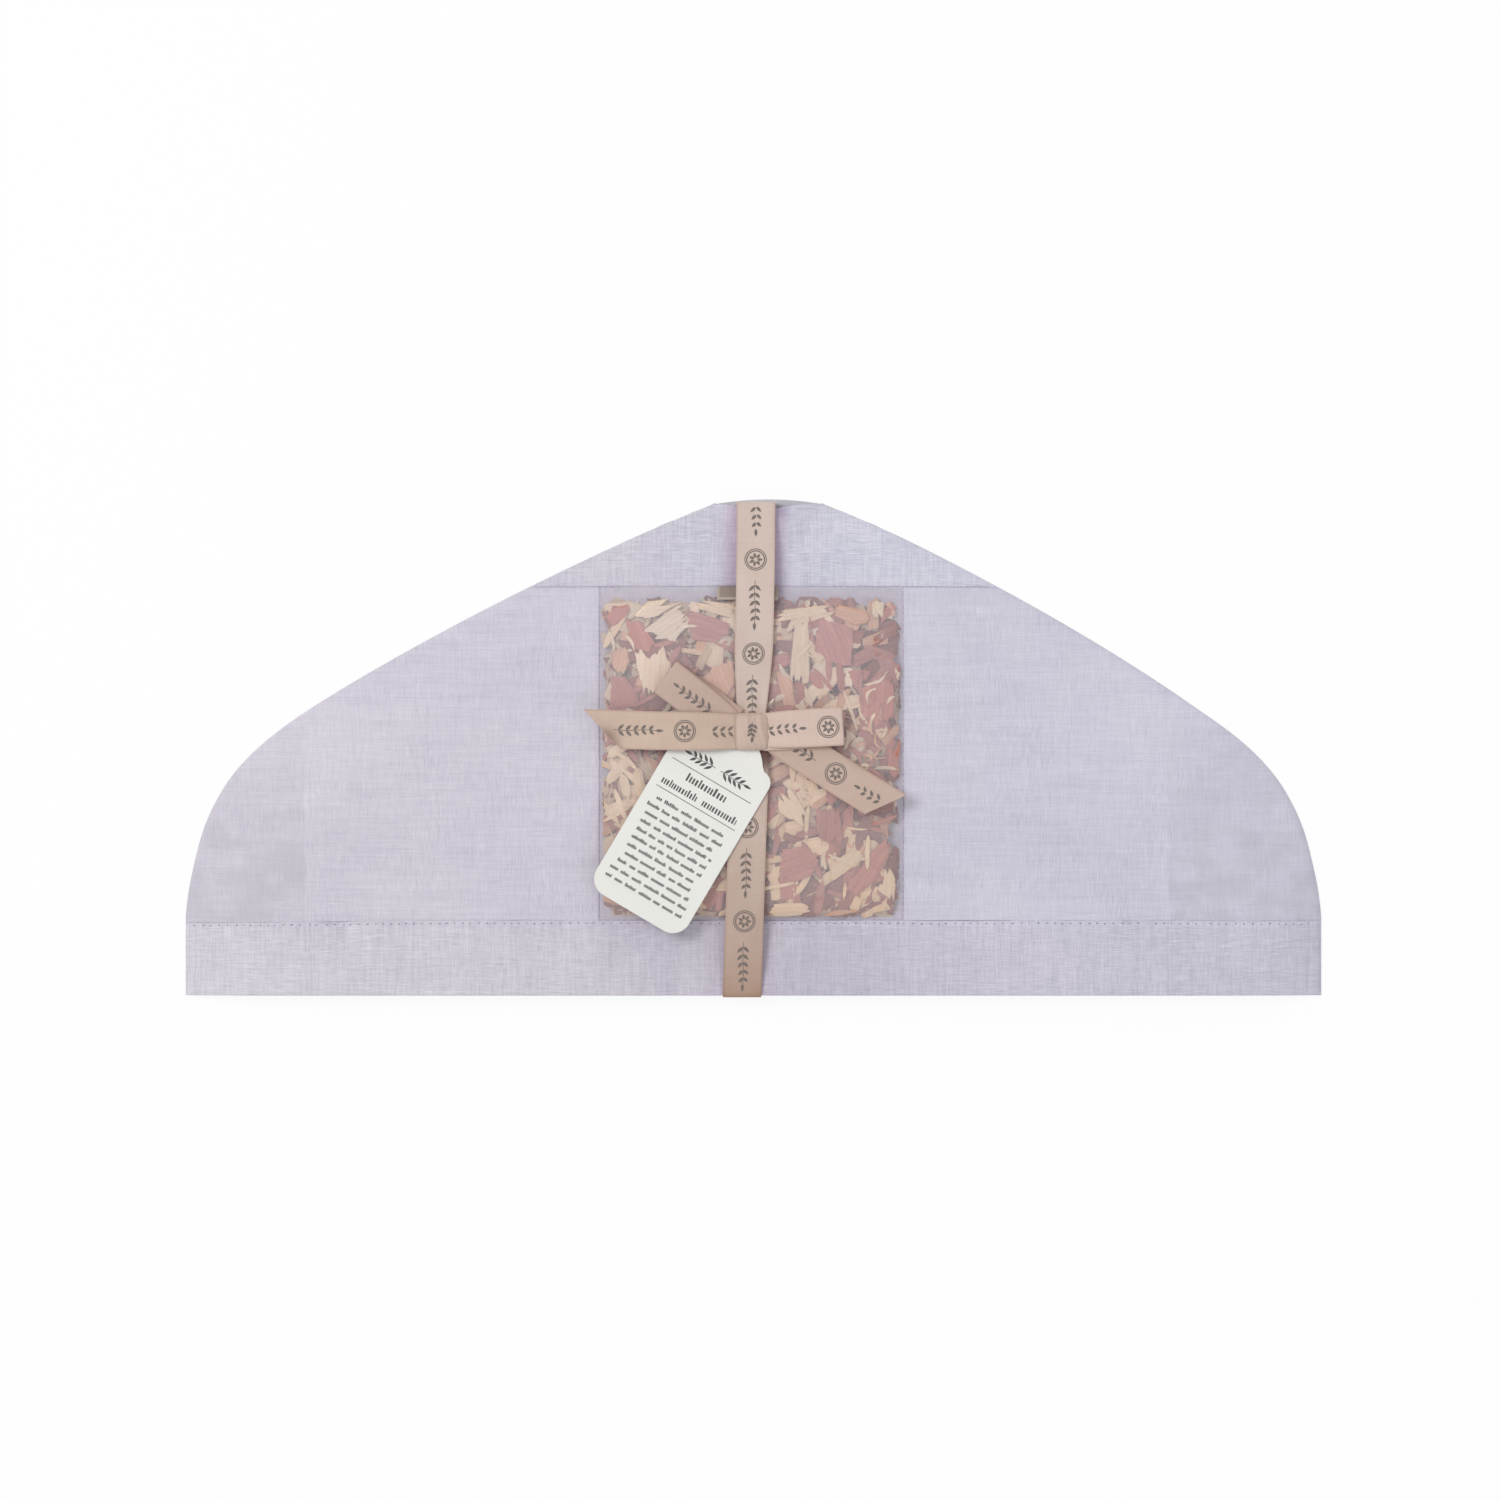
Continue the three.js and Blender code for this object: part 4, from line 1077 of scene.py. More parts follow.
def keep_in_pocket(points):
    """Points brought inside the filling's edge, which wanders and turns the pocket's corners round."""
    left, right, below = POCKET_INSETS
    x, y = points[..., 0], points[..., 1]
    past = np.clip((np.abs(y - POCKET_MIDDLE) - POCKET_HALF_HEIGHT) / POCKET_CORNER + 1, 0, 1)
    round_in = 0.7 * POCKET_CORNER * (1 - np.sqrt(1 - past**2))
    first, last = WINDOW_LEFT + left + round_in, WINDOW_RIGHT - right - round_in
    x = np.clip(x, first + wander(y, 81), last + wander(y, 82))
    y = np.clip(y, HEM_SEAM_Y + below + wander(x, 83), POCKET_TOP - 0.4 * MM + 0.5 * wander(x, 84))
    return np.stack([x, y], -1)


def slide_in(points):
    """The same points, moved together until they lie inside the filling's edge."""
    moves = (keep_in_pocket(points) - points).reshape(-1, 2)
    return points + moves[np.abs(moves).argmax(0), [0, 1]]


def pick_kind(x):
    """Red, pale or warm, with more pale chips towards the left side."""
    reds = 0.58 - 0.22 * smoothstep(WINDOW_LEFT + 32 * MM, WINDOW_LEFT + 10 * MM, x)
    return list(cedars)[int(np.searchsorted([reds, 0.9], chip_random.random()))]


def dim_corner(x, y):
    """A share that is high towards the pocket's upper left corner, where more of the chips are dim."""
    across = (x - WINDOW_LEFT) / WINDOW_HALF / 2
    up = (y - HEM_SEAM_Y) / POCKET_HALF_HEIGHT / 2
    return smoothstep(0.6, 0.3, across) * smoothstep(0.62, 0.85, up)


# For each layer of the filling: how many chips, space left over them, their size and how far painted shade
# darkens them
BULK_LAYERS = ((640, 2.6 * MM, 1.1, 0.38), (400, 1.5 * MM, 0.85, 0.0))


def lay_bulk():
    """The depth of the filling, laid chip on chip from the lining up."""
    for count, headroom, size, depth in BULK_LAYERS:
        for _ in range(count):
            length = size * chip_random.uniform(7, 19) * MM
            width = length * chip_random.uniform(0.3, 0.7)
            place = pocket_place(3 * MM)
            outline = random_outline(place, length, width, chip_random.uniform(0, TAU))
            shape = chip_shape(keep_in_pocket(outline), 1.4 * MM, BULK_TEAR)
            thickness, curl = chip_random.uniform(0.6, 1.4) * MM, chip_random.normal(0, 0.25) * MM
            kind = pick_kind(place[0])
            dim_share = 0.2 + 0.4 * dim_corner(*place)
            lay_chip(kind, shape, thickness, headroom, curl=curl, depth=depth, dim_share=dim_share)


def strip_shape(place, length, width, turn, bend):
    """A shaving or splinter: a narrow strip along an arc, frayed at its ends."""
    steps, rows = max(int(length / (1.2 * MM)), 6), 4
    share = np.linspace(-0.5, 0.5, steps)
    heading = bend * share
    turned_by = max(abs(bend), 1e-3)
    forward = np.sin(heading) / turned_by * np.sign(bend or 1)
    line = np.stack([forward, (1 - np.cos(heading)) / turned_by], -1) * length
    normal = np.stack([-np.sin(heading), np.cos(heading)], -1)
    taper = 1 - 0.75 * np.abs(2 * share) ** chip_random.uniform(2, 6)
    levels = np.linspace(-0.5, 0.5, rows) * width
    plan = line[None] + normal[None] * (levels[:, None] * taper[None])[..., None]
    fray = chip_random.normal(0, CHIP_TEAR, (rows, 2))
    plan[:, 0] -= fray[:, :1] * np.array([1, 0])
    plan[:, -1] += fray[:, 1:] * np.array([1, 0])
    along = np.broadcast_to(share[None] * length, (rows, steps))
    return slide_in(turned(plan, turn, place)), along, np.broadcast_to(levels[:, None], (rows, steps))


def lay_strips(count, lengths, widths, bends, thickness, headroom, kinds, place_at):
    """Lays shavings and splinters. Lengths, widths and bends are given by their least and most."""
    for _ in range(count):
        length = chip_random.uniform(*lengths) * MM
        width = chip_random.uniform(*widths) * MM
        bend = chip_random.uniform(*bends) * chip_random.choice([-1, 1])
        shape = strip_shape(place_at(), length, width, chip_random.uniform(0, TAU), bend)
        kind = kinds[chip_random.integers(len(kinds))]
        curl = chip_random.uniform(-0.1, 0.9) * MM
        lay_chip(kind, shape, thickness, headroom, curl=curl)


def outline_of(node):
    """The plan outline of a packed chip, in order round its middle."""
    points = np.unique(np.round(np.array(packed_points(node))[:, :2], 6), axis=0)
    turn = np.arctan2(*(points - points.mean(0)).T[::-1])
    return points[np.argsort(turn)]


def lay_large_chips():
    def under_silk(x, y):
        return silk_limit(x, y) - CHIP_UNDER_SILK

    for node in sorted(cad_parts):
        if node.startswith("cedar_chip_"):
            kind = node.split("_")[2]
            shape = chip_shape(outline_of(node), 0.75 * MM, PALE_TEAR if kind == "pale" else CHIP_TEAR)
            lay_chip(kind, shape, LARGE_CHIP, CHIP_UNDER_SILK, height_at=under_silk)


def near(share_x, share_y, spread_x, spread_y):
    """Random places about a spot, given as shares of the pocket."""
    x = lerp(WINDOW_LEFT, WINDOW_RIGHT, chip_random.normal(share_x, spread_x))
    y = lerp(HEM_SEAM_Y, POCKET_TOP, chip_random.normal(share_y, spread_y))
    return keep_in_pocket(np.array([x, y]))


def anywhere():
    return pocket_place(5 * MM)


lay_bulk()
lay_strips(130, (8, 18), (1.4, 3.6), (0.02, 0.3), 0.7 * MM, 1.0 * MM, ["pale", "red", "red"], anywhere)
lay_large_chips()
lay_strips(44, (5, 14), (0.5, 1.8), (0.05, 0.8), 0.3 * MM, 0.35 * MM, ["pale", "red"], anywhere)
lay_strips(
    30, (4, 10), (0.5, 1.5), (0.5, 2.2), 0.3 * MM, 0.3 * MM, ["pale", "warm", "red"],
    lambda: near(0.9, 0.57, 0.045, 0.08),
)
lay_strips(
    16, (8, 15), (2.0, 4.6), (0.02, 0.3), 0.5 * MM, 0.3 * MM, ["pale"], lambda: near(0.09, 0.4, 0.045, 0.08)
)
for kind, heap in heaps.items():
    chips = [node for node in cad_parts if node.startswith(f"cedar_chip_{kind}_")]
    belongs(heap.build(), "cover", heap.material["slot"], "cedar_fill", *chips)


# Silk window, drawn taut over the chips
def relax_over(height, sag, rounds):
    """A stretched skin that may not sink below the filling, nor rise where it is sewn."""
    skin = height.copy()
    for _ in range(rounds):
        middle = (skin[1:-1, :-2] + skin[1:-1, 2:] + skin[:-2, 1:-1] + skin[2:, 1:-1]) / 4
        skin[1:-1, 1:-1] = np.maximum(middle - sag, height[1:-1, 1:-1])
    return skin


SILK_OVER_CHIPS = 0.25 * MM
SILK_SINK = 0.2 * MM
SILK_SEAM = 1.4 * MM
SILK_THICKNESS = 0.12 * MM
SILK_SAG = 0.0012 * MM
SILK_ROUNDS = 500


def silk_window():
    x, y = plan_grid(WINDOW, np.linspace(0, 1, 180), np.linspace(0, 1, 196))
    row, column = ground.cells(np.stack([x, y], -1))
    filling = ground.height[row, column] + SILK_OVER_CHIPS
    smooth = filling.copy()
    for _ in range(2):
        smooth[1:-1, 1:-1] = (
            smooth[1:-1, 1:-1] * 2
            + smooth[1:-1, :-2] + smooth[1:-1, 2:] + smooth[:-2, 1:-1] + smooth[2:, 1:-1]
        ) / 6
    filling = np.minimum(np.maximum(filling - SILK_SINK, smooth), silk_limit(x, y) + SILK * 0.4)
    edge_away = np.minimum.reduce([x - WINDOW_LEFT, WINDOW_RIGHT - x, y - HEM_SEAM_Y, YOKE_SEAM_Y - y])
    seam_height = front_lower(x, y) + LINEN - SEAM_VALLEY
    filling = np.where(edge_away < SILK_SEAM, seam_height, filling)
    skin = relax_over(filling, SILK_SAG, SILK_ROUNDS)
    skin = np.where(edge_away > 0, np.maximum(skin, front_lower(x, y) + LINING + 0.12 * MM), skin)
    skin += np.where(edge_away > 1 * MM, 0.06 * MM * value_noise(x, y, 3 * MM, 51), 0)
    lay_cloth(
        "silk_window_cloth", "silk_window", WINDOW, [x, y, np.minimum(skin, silk_limit(x, y) + SILK)],
        SILK_THICKNESS, sheer_silk,
    )


silk_window()


# Ribbon
class Band:
    """A strip of ribbon: its middle line, the direction across it and its half width, against its length."""

    def __init__(self, centre, side, half, lift):
        self.centre, self.side, self.half = np.asarray(centre), np.asarray(side), np.asarray(half)
        steps = np.linalg.norm(np.diff(self.centre, axis=0), axis=1)
        self.length = np.concatenate([[0], np.cumsum(steps)])
        self.lift = lift
        self.slant = 0.0

    def end(self, across):
        """Where the cut end lies. A slant moves one of its corners ahead of the other."""
        return self.length[-1] - abs(self.slant) + self.slant * across

    def at(self, along, across):
        """The place of a point that lies this far along the band and this share across it, from -1 to 1."""
        centre, side = (
            np.stack([np.interp(along, self.length, values[:, axis]) for axis in range(3)], -1)
            for values in (self.centre, self.side)
        )
        half = np.interp(along, self.length, self.half)
        point = centre + side * (half * across)[..., None]
        point[..., 2] += self.lift(along, across)
        return point

    def steepest(self, start, end):
        """How steeply the middle line climbs between two places along it."""
        places = np.linspace(start, max(end, start + 0.5 * MM), 12)
        heights = np.interp(places, self.length, self.centre[:, 2])
        return np.abs(np.diff(heights)).max() / (places[1] - places[0])


PAINTED_LIGHT_REACH = 150 * MM
KNOT_SHADE_REACH = 8.5 * MM


def painted_knot_shade(points):
    """How deep a point of the ribbon lies in the painted shade just below the knot, where the strand is
    gathered under it.
    """
    under = (KNOT_LOW.y - points[..., 1]) / KNOT_SHADE_REACH
    low = smoothstep(KNOT_LOW.z + 0.6 * MM, KNOT_LOW.z - 0.4 * MM, points[..., 2])
    return 0.86 * np.exp(-(under**4)) * low


def ribbon_piece(name, band, nodes, columns, tone, step=1.0 * MM):
    """A satin piece, multiplied by painted light and shade that goes from the first colour at the hem to the
    second towards the neck.
    """
    length = band.length[-1]
    lines = np.linspace(0, band.end(0), max(int(length / step), 4))
    run, share = np.meshgrid(lines, np.linspace(-1, 1, columns), indexing="ij")
    run = run + (band.end(share) - band.end(0)) * (run / lines[-1]) ** 6
    uv = np.stack([run, share * RIBBON_HALF], -1) / MM
    points = band.at(run, share)
    low, high = np.array(tone)
    height = np.clip((points[..., 1] - HEM_Y) / PAINTED_LIGHT_REACH, 0, 1)
    shade = lerp(low, high, height[..., None] ** 0.4)
    # Painted shade below the knot, dark and warm.
    shade = shade * (1 - painted_knot_shade(points)[..., None] * np.array([0.9, 1.0, 1.0]))
    piece = closed_sheet(name, points, SATIN, ribbon_satin, uv, shade=shade)
    belongs(piece, "tie", "ribbon_satin", *nodes)


def level_profile(node):
    """Middle, highest point and half width of a packed strand at each of its levels along Y."""
    rows = []
    for y, points in packed_levels(node, 5):
        xs, zs = [point.x for point in points], [point.z for point in points]
        rows.append(((min(xs) + max(xs)) / 2, y, max(zs), (max(xs) - min(xs)) / 2))
    return np.array(rows)


def arc(centre, radius, start, end, steps):
    """Places along an arc, from one angle in degrees to another."""
    turns = np.radians(np.linspace(start, end, steps))
    return [(centre[0] + radius * math.cos(turn), centre[1] + radius * math.sin(turn)) for turn in turns]


def smoothed(values, width):
    """The values, each averaged with those about it."""
    kernel = np.hanning(width + 2)[1:-1]
    padded = np.pad(values, width // 2, mode="reflect", reflect_type="odd")
    return np.convolve(padded, kernel / kernel.sum(), mode="valid")[: len(values)]


TURN_RADIUS = 1.5 * MM
PINCH_LENGTH = 34 * MM
PINCHED_HALF = 5.1 * MM


def ribbon_round_front():
    """The ribbon from the knot down round the hem, up inside the cover and over the neckline to the knot."""
    strands = np.concatenate([level_profile("ribbon_front_lower"), level_profile("ribbon_front_upper")])
    y = np.linspace(strands[0, 1], strands[-1, 1], 200)
    middle, top = (np.interp(y, strands[:, 1], strands[:, k]) for k in (0, 2))
    top = smoothed(top, 9)
    above = np.clip(1 - (y - KNOT_Y) / PINCH_LENGTH, 0, 1) ** 1.25
    pinch = np.where(y > KNOT_Y, above, 0)
    half = lerp(RIBBON_HALF, PINCHED_HALF, pinch)
    inner = corner("ribbon_inner_strand", 1, "z") - SATIN
    low_y = corner("ribbon_bottom_turn", 0, "y") + TURN_RADIUS
    high_y = corner("ribbon_top_turn", 1, "y") - TURN_RADIUS
    outside = np.column_stack([middle, y, top, half])
    inside = np.column_stack([middle, y, np.full_like(y, inner), np.full_like(y, RIBBON_HALF)])

    def turn(x, edge_y, first, last, start, end):
        """Round an edge: a quarter turn off the first height and a quarter turn on to the last."""
        down = arc((edge_y, first), TURN_RADIUS, start, (start + end) / 2, 7)
        on = arc((edge_y, last), TURN_RADIUS, (start + end) / 2, end, 7)
        return [(x, place, z, RIBBON_HALF) for place, z in down + on]

    line = list(outside[(y < KNOT_Y) & (y > low_y)][::-1])
    line += turn(middle[0], low_y, top[0] - TURN_RADIUS, inner + TURN_RADIUS, 90, 270)
    line += list(inside[(y > low_y) & (y < high_y)])
    line += turn(middle[-1], high_y, inner + TURN_RADIUS, top[-1] - TURN_RADIUS, -90, 90)
    line += list(outside[(y >= KNOT_Y) & (y < high_y)][::-1])
    line = np.array(line)
    knot_place = np.linalg.norm(np.diff(line[:, :3], axis=0), axis=1).sum()

    def gathers(along, share):
        drawn = smoothstep(knot_place - PINCH_LENGTH, knot_place, along)
        folds = 0.35 * MM * np.cos(share * 2.2 * math.pi + 0.6) * drawn * (0.6 * share * share + 0.4)
        ease = 0.07 * MM * value_noise(along, share * 6 * MM, 13 * MM, 61)
        edge_curl = 0.1 * MM * share**4
        return folds + ease - edge_curl - 0.05 * MM

    return Band(line[:, :3], np.tile([-1.0, 0, 0], (len(line), 1)), line[:, 3], gathers)


def headings(angle):
    """Directions in plan, along an angle in degrees and to the left of it."""
    turn = math.radians(angle)
    out = np.array([math.cos(turn), math.sin(turn)])
    return out, np.array([-out[1], out[0]])


def spread(origin, angle, path, lift, sway, facing=1):
    """A strap of the bow, drawn in a little at the knot. Its path gives how far out and how high it is."""
    out, across = headings(angle)
    plan = origin + path[:, :1] * out + sway[:, None] * across
    half = RIBBON_HALF - 0.75 * MM * np.exp(-np.maximum(path[:, 0] - 7 * MM, 0) / (7 * MM))
    side = np.array([*across, 0]) * facing
    return Band(np.column_stack([plan, path[:, 1]]), np.tile(side, (len(path), 1)), half, lift)


BOW_BASE = KNOT_LOW.z
ROOT_LIFT = 1.5 * MM
LOOP_FOLD = 1.0 * MM
LOOP_BULGE = 0.9 * MM
LOOP_ROOT_GAP = 0.8 * MM
ROOT_INSIDE = 4.5 * MM


def loop_path(reach, base):
    """Out along the lower layer, round the fold and back along the upper one."""
    span = reach - LOOP_FOLD
    out = [(along, base + 0.2 * MM) for along in np.linspace(ROOT_INSIDE, span, 24)]
    fold = arc((span, base + LOOP_FOLD), LOOP_FOLD, -90, 90, 11)
    back = []
    for share in np.linspace(1, 0, 30)[1:]:
        rise = lerp(LOOP_ROOT_GAP, 2 * LOOP_FOLD, share) + LOOP_BULGE * 4 * share * (1 - share)
        back.append((lerp(ROOT_INSIDE, span, share), base + rise))
    return np.array(out + fold + back), len(out) + len(fold) // 2


def tail_path(node, origin, angle):
    """Height of a packed tail along its own direction, read on its longer edge."""
    points = np.array(packed_points(node))
    along, across = ((points[:, :2] - origin) @ heading for heading in headings(angle))
    longer = np.sign(across) == np.sign(across[np.argmax(along)])
    levels = np.unique(np.round(along[longer], 5))
    top = [points[longer][np.abs(along[longer] - level) < 0.02 * MM][:, 2].max() for level in levels]
    places = np.linspace(ROOT_INSIDE, levels[-1], 90)
    return np.column_stack([places, smoothed(np.interp(places, levels, top), 11)])


def pleats(along, share, root, seed):
    """Small folds that the knot draws in, fading along the strap."""
    drawn = np.exp(-np.abs(along - root) / (7 * MM))
    return 0.22 * MM * drawn * np.cos(share * 3.1 * math.pi + seed)


def strap_lift(ease, cell, seed, curl, root, pleat_seed):
    """Height of a strap over its path: it eases up and down, its edges curl and its root is pleated."""

    def lift(along, share):
        eased = ease * value_noise(along, share * 8 * MM, cell, seed)
        return eased - curl * share**2 + pleats(along, share, root, pleat_seed)

    return lift


def bow_bands():
    knot_centre = np.array([KNOT_X, KNOT_Y])
    bands = {}
    loops = (
        ("bow_loop_left", knot_centre - [4.5 * MM, 0], 144.0, 37.5 * MM, BOW_BASE, -0.9 * MM, 1.0 * MM),
        ("bow_loop_right", knot_centre, 3.5, 36.6 * MM, BOW_BASE + ROOT_LIFT, -1.1 * MM, 0.2 * MM),
    )
    for seed, (name, origin, angle, reach, base, under_sway, upper_sway) in enumerate(loops):
        path, fold = loop_path(reach, base)
        far = (path[:, 0] - ROOT_INSIDE) / (reach - ROOT_INSIDE)
        sway = np.where(np.arange(len(path)) < fold, under_sway, upper_sway) * (1 - far) ** 1.2
        lift = strap_lift(0.06 * MM, 12 * MM, 71 + seed, 0.2 * MM, 2 * (reach - ROOT_INSIDE), seed)
        bands[name] = spread(origin, angle, path, lift, sway)
    tails = (("bow_tail_left", knot_centre, 178.9), ("bow_tail_right", knot_centre + [0, 5 * MM], -32.5))
    for seed, (name, origin, angle) in enumerate(tails):
        path = tail_path(name, origin, angle)
        bow_in = 0.35 * MM * np.sin(np.linspace(0, math.pi, len(path)))
        lift = strap_lift(0.1 * MM, 15 * MM, 75 + seed, 0.12 * MM, 0, 1.7 + seed)
        bands[name] = spread(origin, angle, path, lift, bow_in * (1, -1)[seed], facing=-1)
    return bands


KNOT_INSET = 0.2 * MM
KNOT_TUCK = 0.1
KNOT_HALF = 5.7 * MM
KNOT_CROWN = 0.9 * MM
KNOT_ROLL = 1.9 * MM


def knot_band():
    """The band that is drawn over the bow's middle and tucked in behind it."""
    height = KNOT_HIGH.z - KNOT_LOW.z
    half_length = (KNOT_HIGH.y - KNOT_LOW.y) / 2 - KNOT_INSET
    turns = np.linspace(-KNOT_TUCK, 1 + KNOT_TUCK, 72) * math.pi
    across = np.sign(np.cos(turns)) * np.abs(np.cos(turns)) ** 0.62 * half_length
    arch = np.sign(np.sin(turns)) * np.abs(np.sin(turns)) ** 0.6
    up = KNOT_LOW.z + KNOT_INSET + arch * (height - 0.5 * MM)
    line = np.column_stack([np.full(len(turns), KNOT_X), KNOT_Y + across, up])
    half = KNOT_HALF + KNOT_CROWN * np.sin(np.clip(turns, 0, math.pi)) ** 1.5
    total = np.linalg.norm(np.diff(line, axis=0), axis=1).sum()

    def creases(along, share):
        crown = np.sin(np.clip(along / total, 0, 1) * math.pi)
        rolled = -KNOT_ROLL * np.abs(share) ** 4 * crown
        wander = share + 0.22 * np.sin(along / total * 5) - 0.15 * along / total
        creases = 0.2 * np.cos(wander * 2.3 * math.pi + 0.9) + 0.14 * np.cos(wander * 5.1 * math.pi + 2.0)
        return rolled + creases * MM * (1 - share**8)

    return Band(line, np.tile([1.0, 0, 0], (len(line), 1)), half, creases)


def throat():
    """The ribbon's folded stem that passes up through the tag's hole."""
    low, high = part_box("ribbon_throat")
    middle = (low + high) / 2
    radius = (high.x - low.x) / 2
    sides = 48
    turns, rings = np.linspace(0, TAU, sides, endpoint=False), np.linspace(0, 1, 7)
    reach = radius * (1 - 0.12 * np.sin(rings * math.pi))[:, None] * (0.86 + 0.12 * np.cos(7 * turns))[None]
    tip = np.full((1, sides), 0.01 * MM)
    reach = np.concatenate([tip, reach, tip])
    z = lerp(low.z, high.z, np.concatenate([[0], rings, [1]]))[:, None] + reach * 0
    x, y = middle.x + reach * np.cos(turns), middle.y + reach * np.sin(turns)
    vertices = np.stack([x, y, z], -1).reshape(-1, 3)
    uv = np.stack([z, reach * 0 + turns * radius], -1).reshape(-1, 2) / MM
    stem = link_mesh("satin_throat", vertices, tube_faces(*x.shape), ribbon_satin, uv)
    belongs(stem, "tie", "ribbon_satin", "ribbon_throat")


round_front = ribbon_round_front()
ROUND_PARTS = ("inner_strand", "front_upper", "front_lower", "top_turn", "bottom_turn")
# Painted light: the strand is darker and warmer towards the hem and paler towards the neck, where its sheen
# catches the light.
ribbon_piece(
    "satin_round_front", round_front, [f"ribbon_{part}" for part in ROUND_PARTS],
    columns=17,
    tone=((0.615, 0.503, 0.428), (1.057, 1.12, 1.17)),
)
END_SLANTS = {"bow_tail_left": 7.65 * MM, "bow_tail_right": -5.1 * MM}
# Painted light and shade: each strap of the one ribbon is made lighter or darker.
STRAP_PAINTED_LIGHT = {
    "bow_loop_left": (0.86, 0.82, 0.83), "bow_loop_right": (1.09, 1.10, 1.13),
    "bow_tail_left": (0.96, 0.95, 0.9), "bow_tail_right": (0.93, 0.91, 0.9),
}
straps = bow_bands()
for name, band in straps.items():
    held, rest = ("folded", "satin_bow_knot") if "loop" in name else ("draped", "silk_window_cloth")
    band.slant = END_SLANTS.get(name, 0.0)
    ribbon_piece(f"satin_{name}", band, [name], columns=15, tone=(STRAP_PAINTED_LIGHT[name],) * 2)
wrap = knot_band()
# Painted shade: the knot's wrap is a little darker.
ribbon_piece(
    "satin_bow_knot", wrap, ["bow_knot"], columns=41, step=0.5 * MM,
    tone=((0.96, 0.96, 0.96),) * 2,
)
throat()


# Printed sprigs on the ribbon
LEAF_STEPS = 7
RING_STEPS = 28
STEM = 0.28 * MM


def leaf(base, tip, width):
    """A leaf in plan, as a grid of places from its base to its tip."""
    base, tip = np.array(base), np.array(tip)
    share = np.linspace(0.02, 0.98, LEAF_STEPS)
    run = tip - base
    side = np.array([-run[1], run[0]]) / np.linalg.norm(run)
    half = width / 2 * np.sin(share**0.8 * math.pi)
    levels = np.linspace(-1, 1, 3)
    return base + share[None, :, None] * run + (levels[:, None] * half[None])[..., None] * side


def stroke(points, width):
    """A thin line through the points, as a grid of places."""
    points = np.array(points, float)
    run = np.gradient(points, axis=0)
    side = np.stack([-run[:, 1], run[:, 0]], -1) / np.linalg.norm(run, axis=1)[:, None]
    return points[None] + np.array([-0.5, 0.5])[:, None, None] * width * side[None]


def sprig(length, pairs, leaf_length, leaf_width):
    """A branch along +X with paired leaves and one at its tip."""
    stem = np.linspace(0, length, 3 * pairs + 4)
    sway = 0.25 * MM * np.sin(stem / length * TAU)
    shapes = [stroke(np.column_stack([stem, sway]), STEM)]
    for pair in range(pairs):
        x = length * (pair + 0.6) / (pairs + 0.4)
        y = float(np.interp(x, stem, sway))
        size = leaf_length * (1 - 0.3 * pair / pairs)
        for side in (-1, 1):
            base = (x + 0.1 * MM * side, y + 0.15 * MM * side)
            tip = (base[0] + size * 0.72, base[1] + side * size * 0.7)
            shapes.append(leaf(base, tip, leaf_width))
    shapes.append(leaf((length, sway[-1]), (length + leaf_length, sway[-1]), leaf_width))
    return shapes


def blossom(radius, petals):
    """Petals round a bare middle."""
    shapes = []
    for petal in range(petals):
        turn = TAU * (petal + 0.25) / petals
        out = np.array([math.cos(turn), math.sin(turn)])
        shapes.append(leaf(out * radius * 0.22, out * radius, radius * 0.42))
    return shapes


def ring(radius, width):
    turns = np.linspace(0, TAU, RING_STEPS + 1)
    return np.stack([np.stack([r * np.cos(turns), r * np.sin(turns)], -1) for r in (radius - width, radius)])


INK = 0.02 * MM
PRINT_END = 1.2 * MM
PRINT_PERIOD = 38 * MM
FLOWER_PLACE = 29.5 * MM
STEEPEST_PRINT = 0.5


def print_on(heap, band, start, shapes, turn_round=False, clear=INK):
    """Lays flat shapes on a band, from a place along it. Steep stretches stay bare."""
    reach = max(shape[..., 0].max() for shape in shapes)
    low = min(shape[..., 0].min() for shape in shapes)
    for shape in shapes:
        local = -shape if turn_round else shape
        along = start + local[..., 0] + (low + reach if turn_round else 0)
        across = local[..., 1] / np.interp(along, band.length, band.half)
        if along.min() < 0 or np.any(along > band.end(across) - PRINT_END):
            continue
        if band.steepest(along.min(), along.max()) > STEEPEST_PRINT:
            continue
        points = band.at(along, across)
        normals = grid_normals(points)
        outward = normals * (1 if normals[..., 2].mean() > 0 else -1)
        heap.add(points + outward * clear, INK, along, across * RIBBON_HALF)


def ribbon_print():
    heap = Heap("ribbon_sprigs", ribbon_ink)
    branch = sprig(17 * MM, 5, 3.3 * MM, 1.3 * MM)
    flower = blossom(2.9 * MM, 7) + [ring(3.8 * MM, 0.5 * MM), ring(4.5 * MM, 0.4 * MM)]
    starts = {"bow_loop_left": 0.5, "bow_loop_right": 10, "bow_tail_left": -7, "bow_tail_right": 6}
    layout = [(round_front, 8 * MM, False)]
    layout += [(straps[name], start * MM, True) for name, start in starts.items()]
    for band, start, turn_round in layout:
        for place in np.arange(start, band.length[-1], PRINT_PERIOD):
            print_on(heap, band, place, branch, turn_round)
            print_on(heap, band, place + FLOWER_PLACE, flower)
    small_branch = sprig(6 * MM, 3, 2.6 * MM, 1.2 * MM)
    print_on(heap, wrap, wrap.length[-1] / 2 - 4 * MM, small_branch, clear=SATIN + 2 * INK)
    belongs(heap.build(), "tie", "ribbon_satin")


ribbon_print()


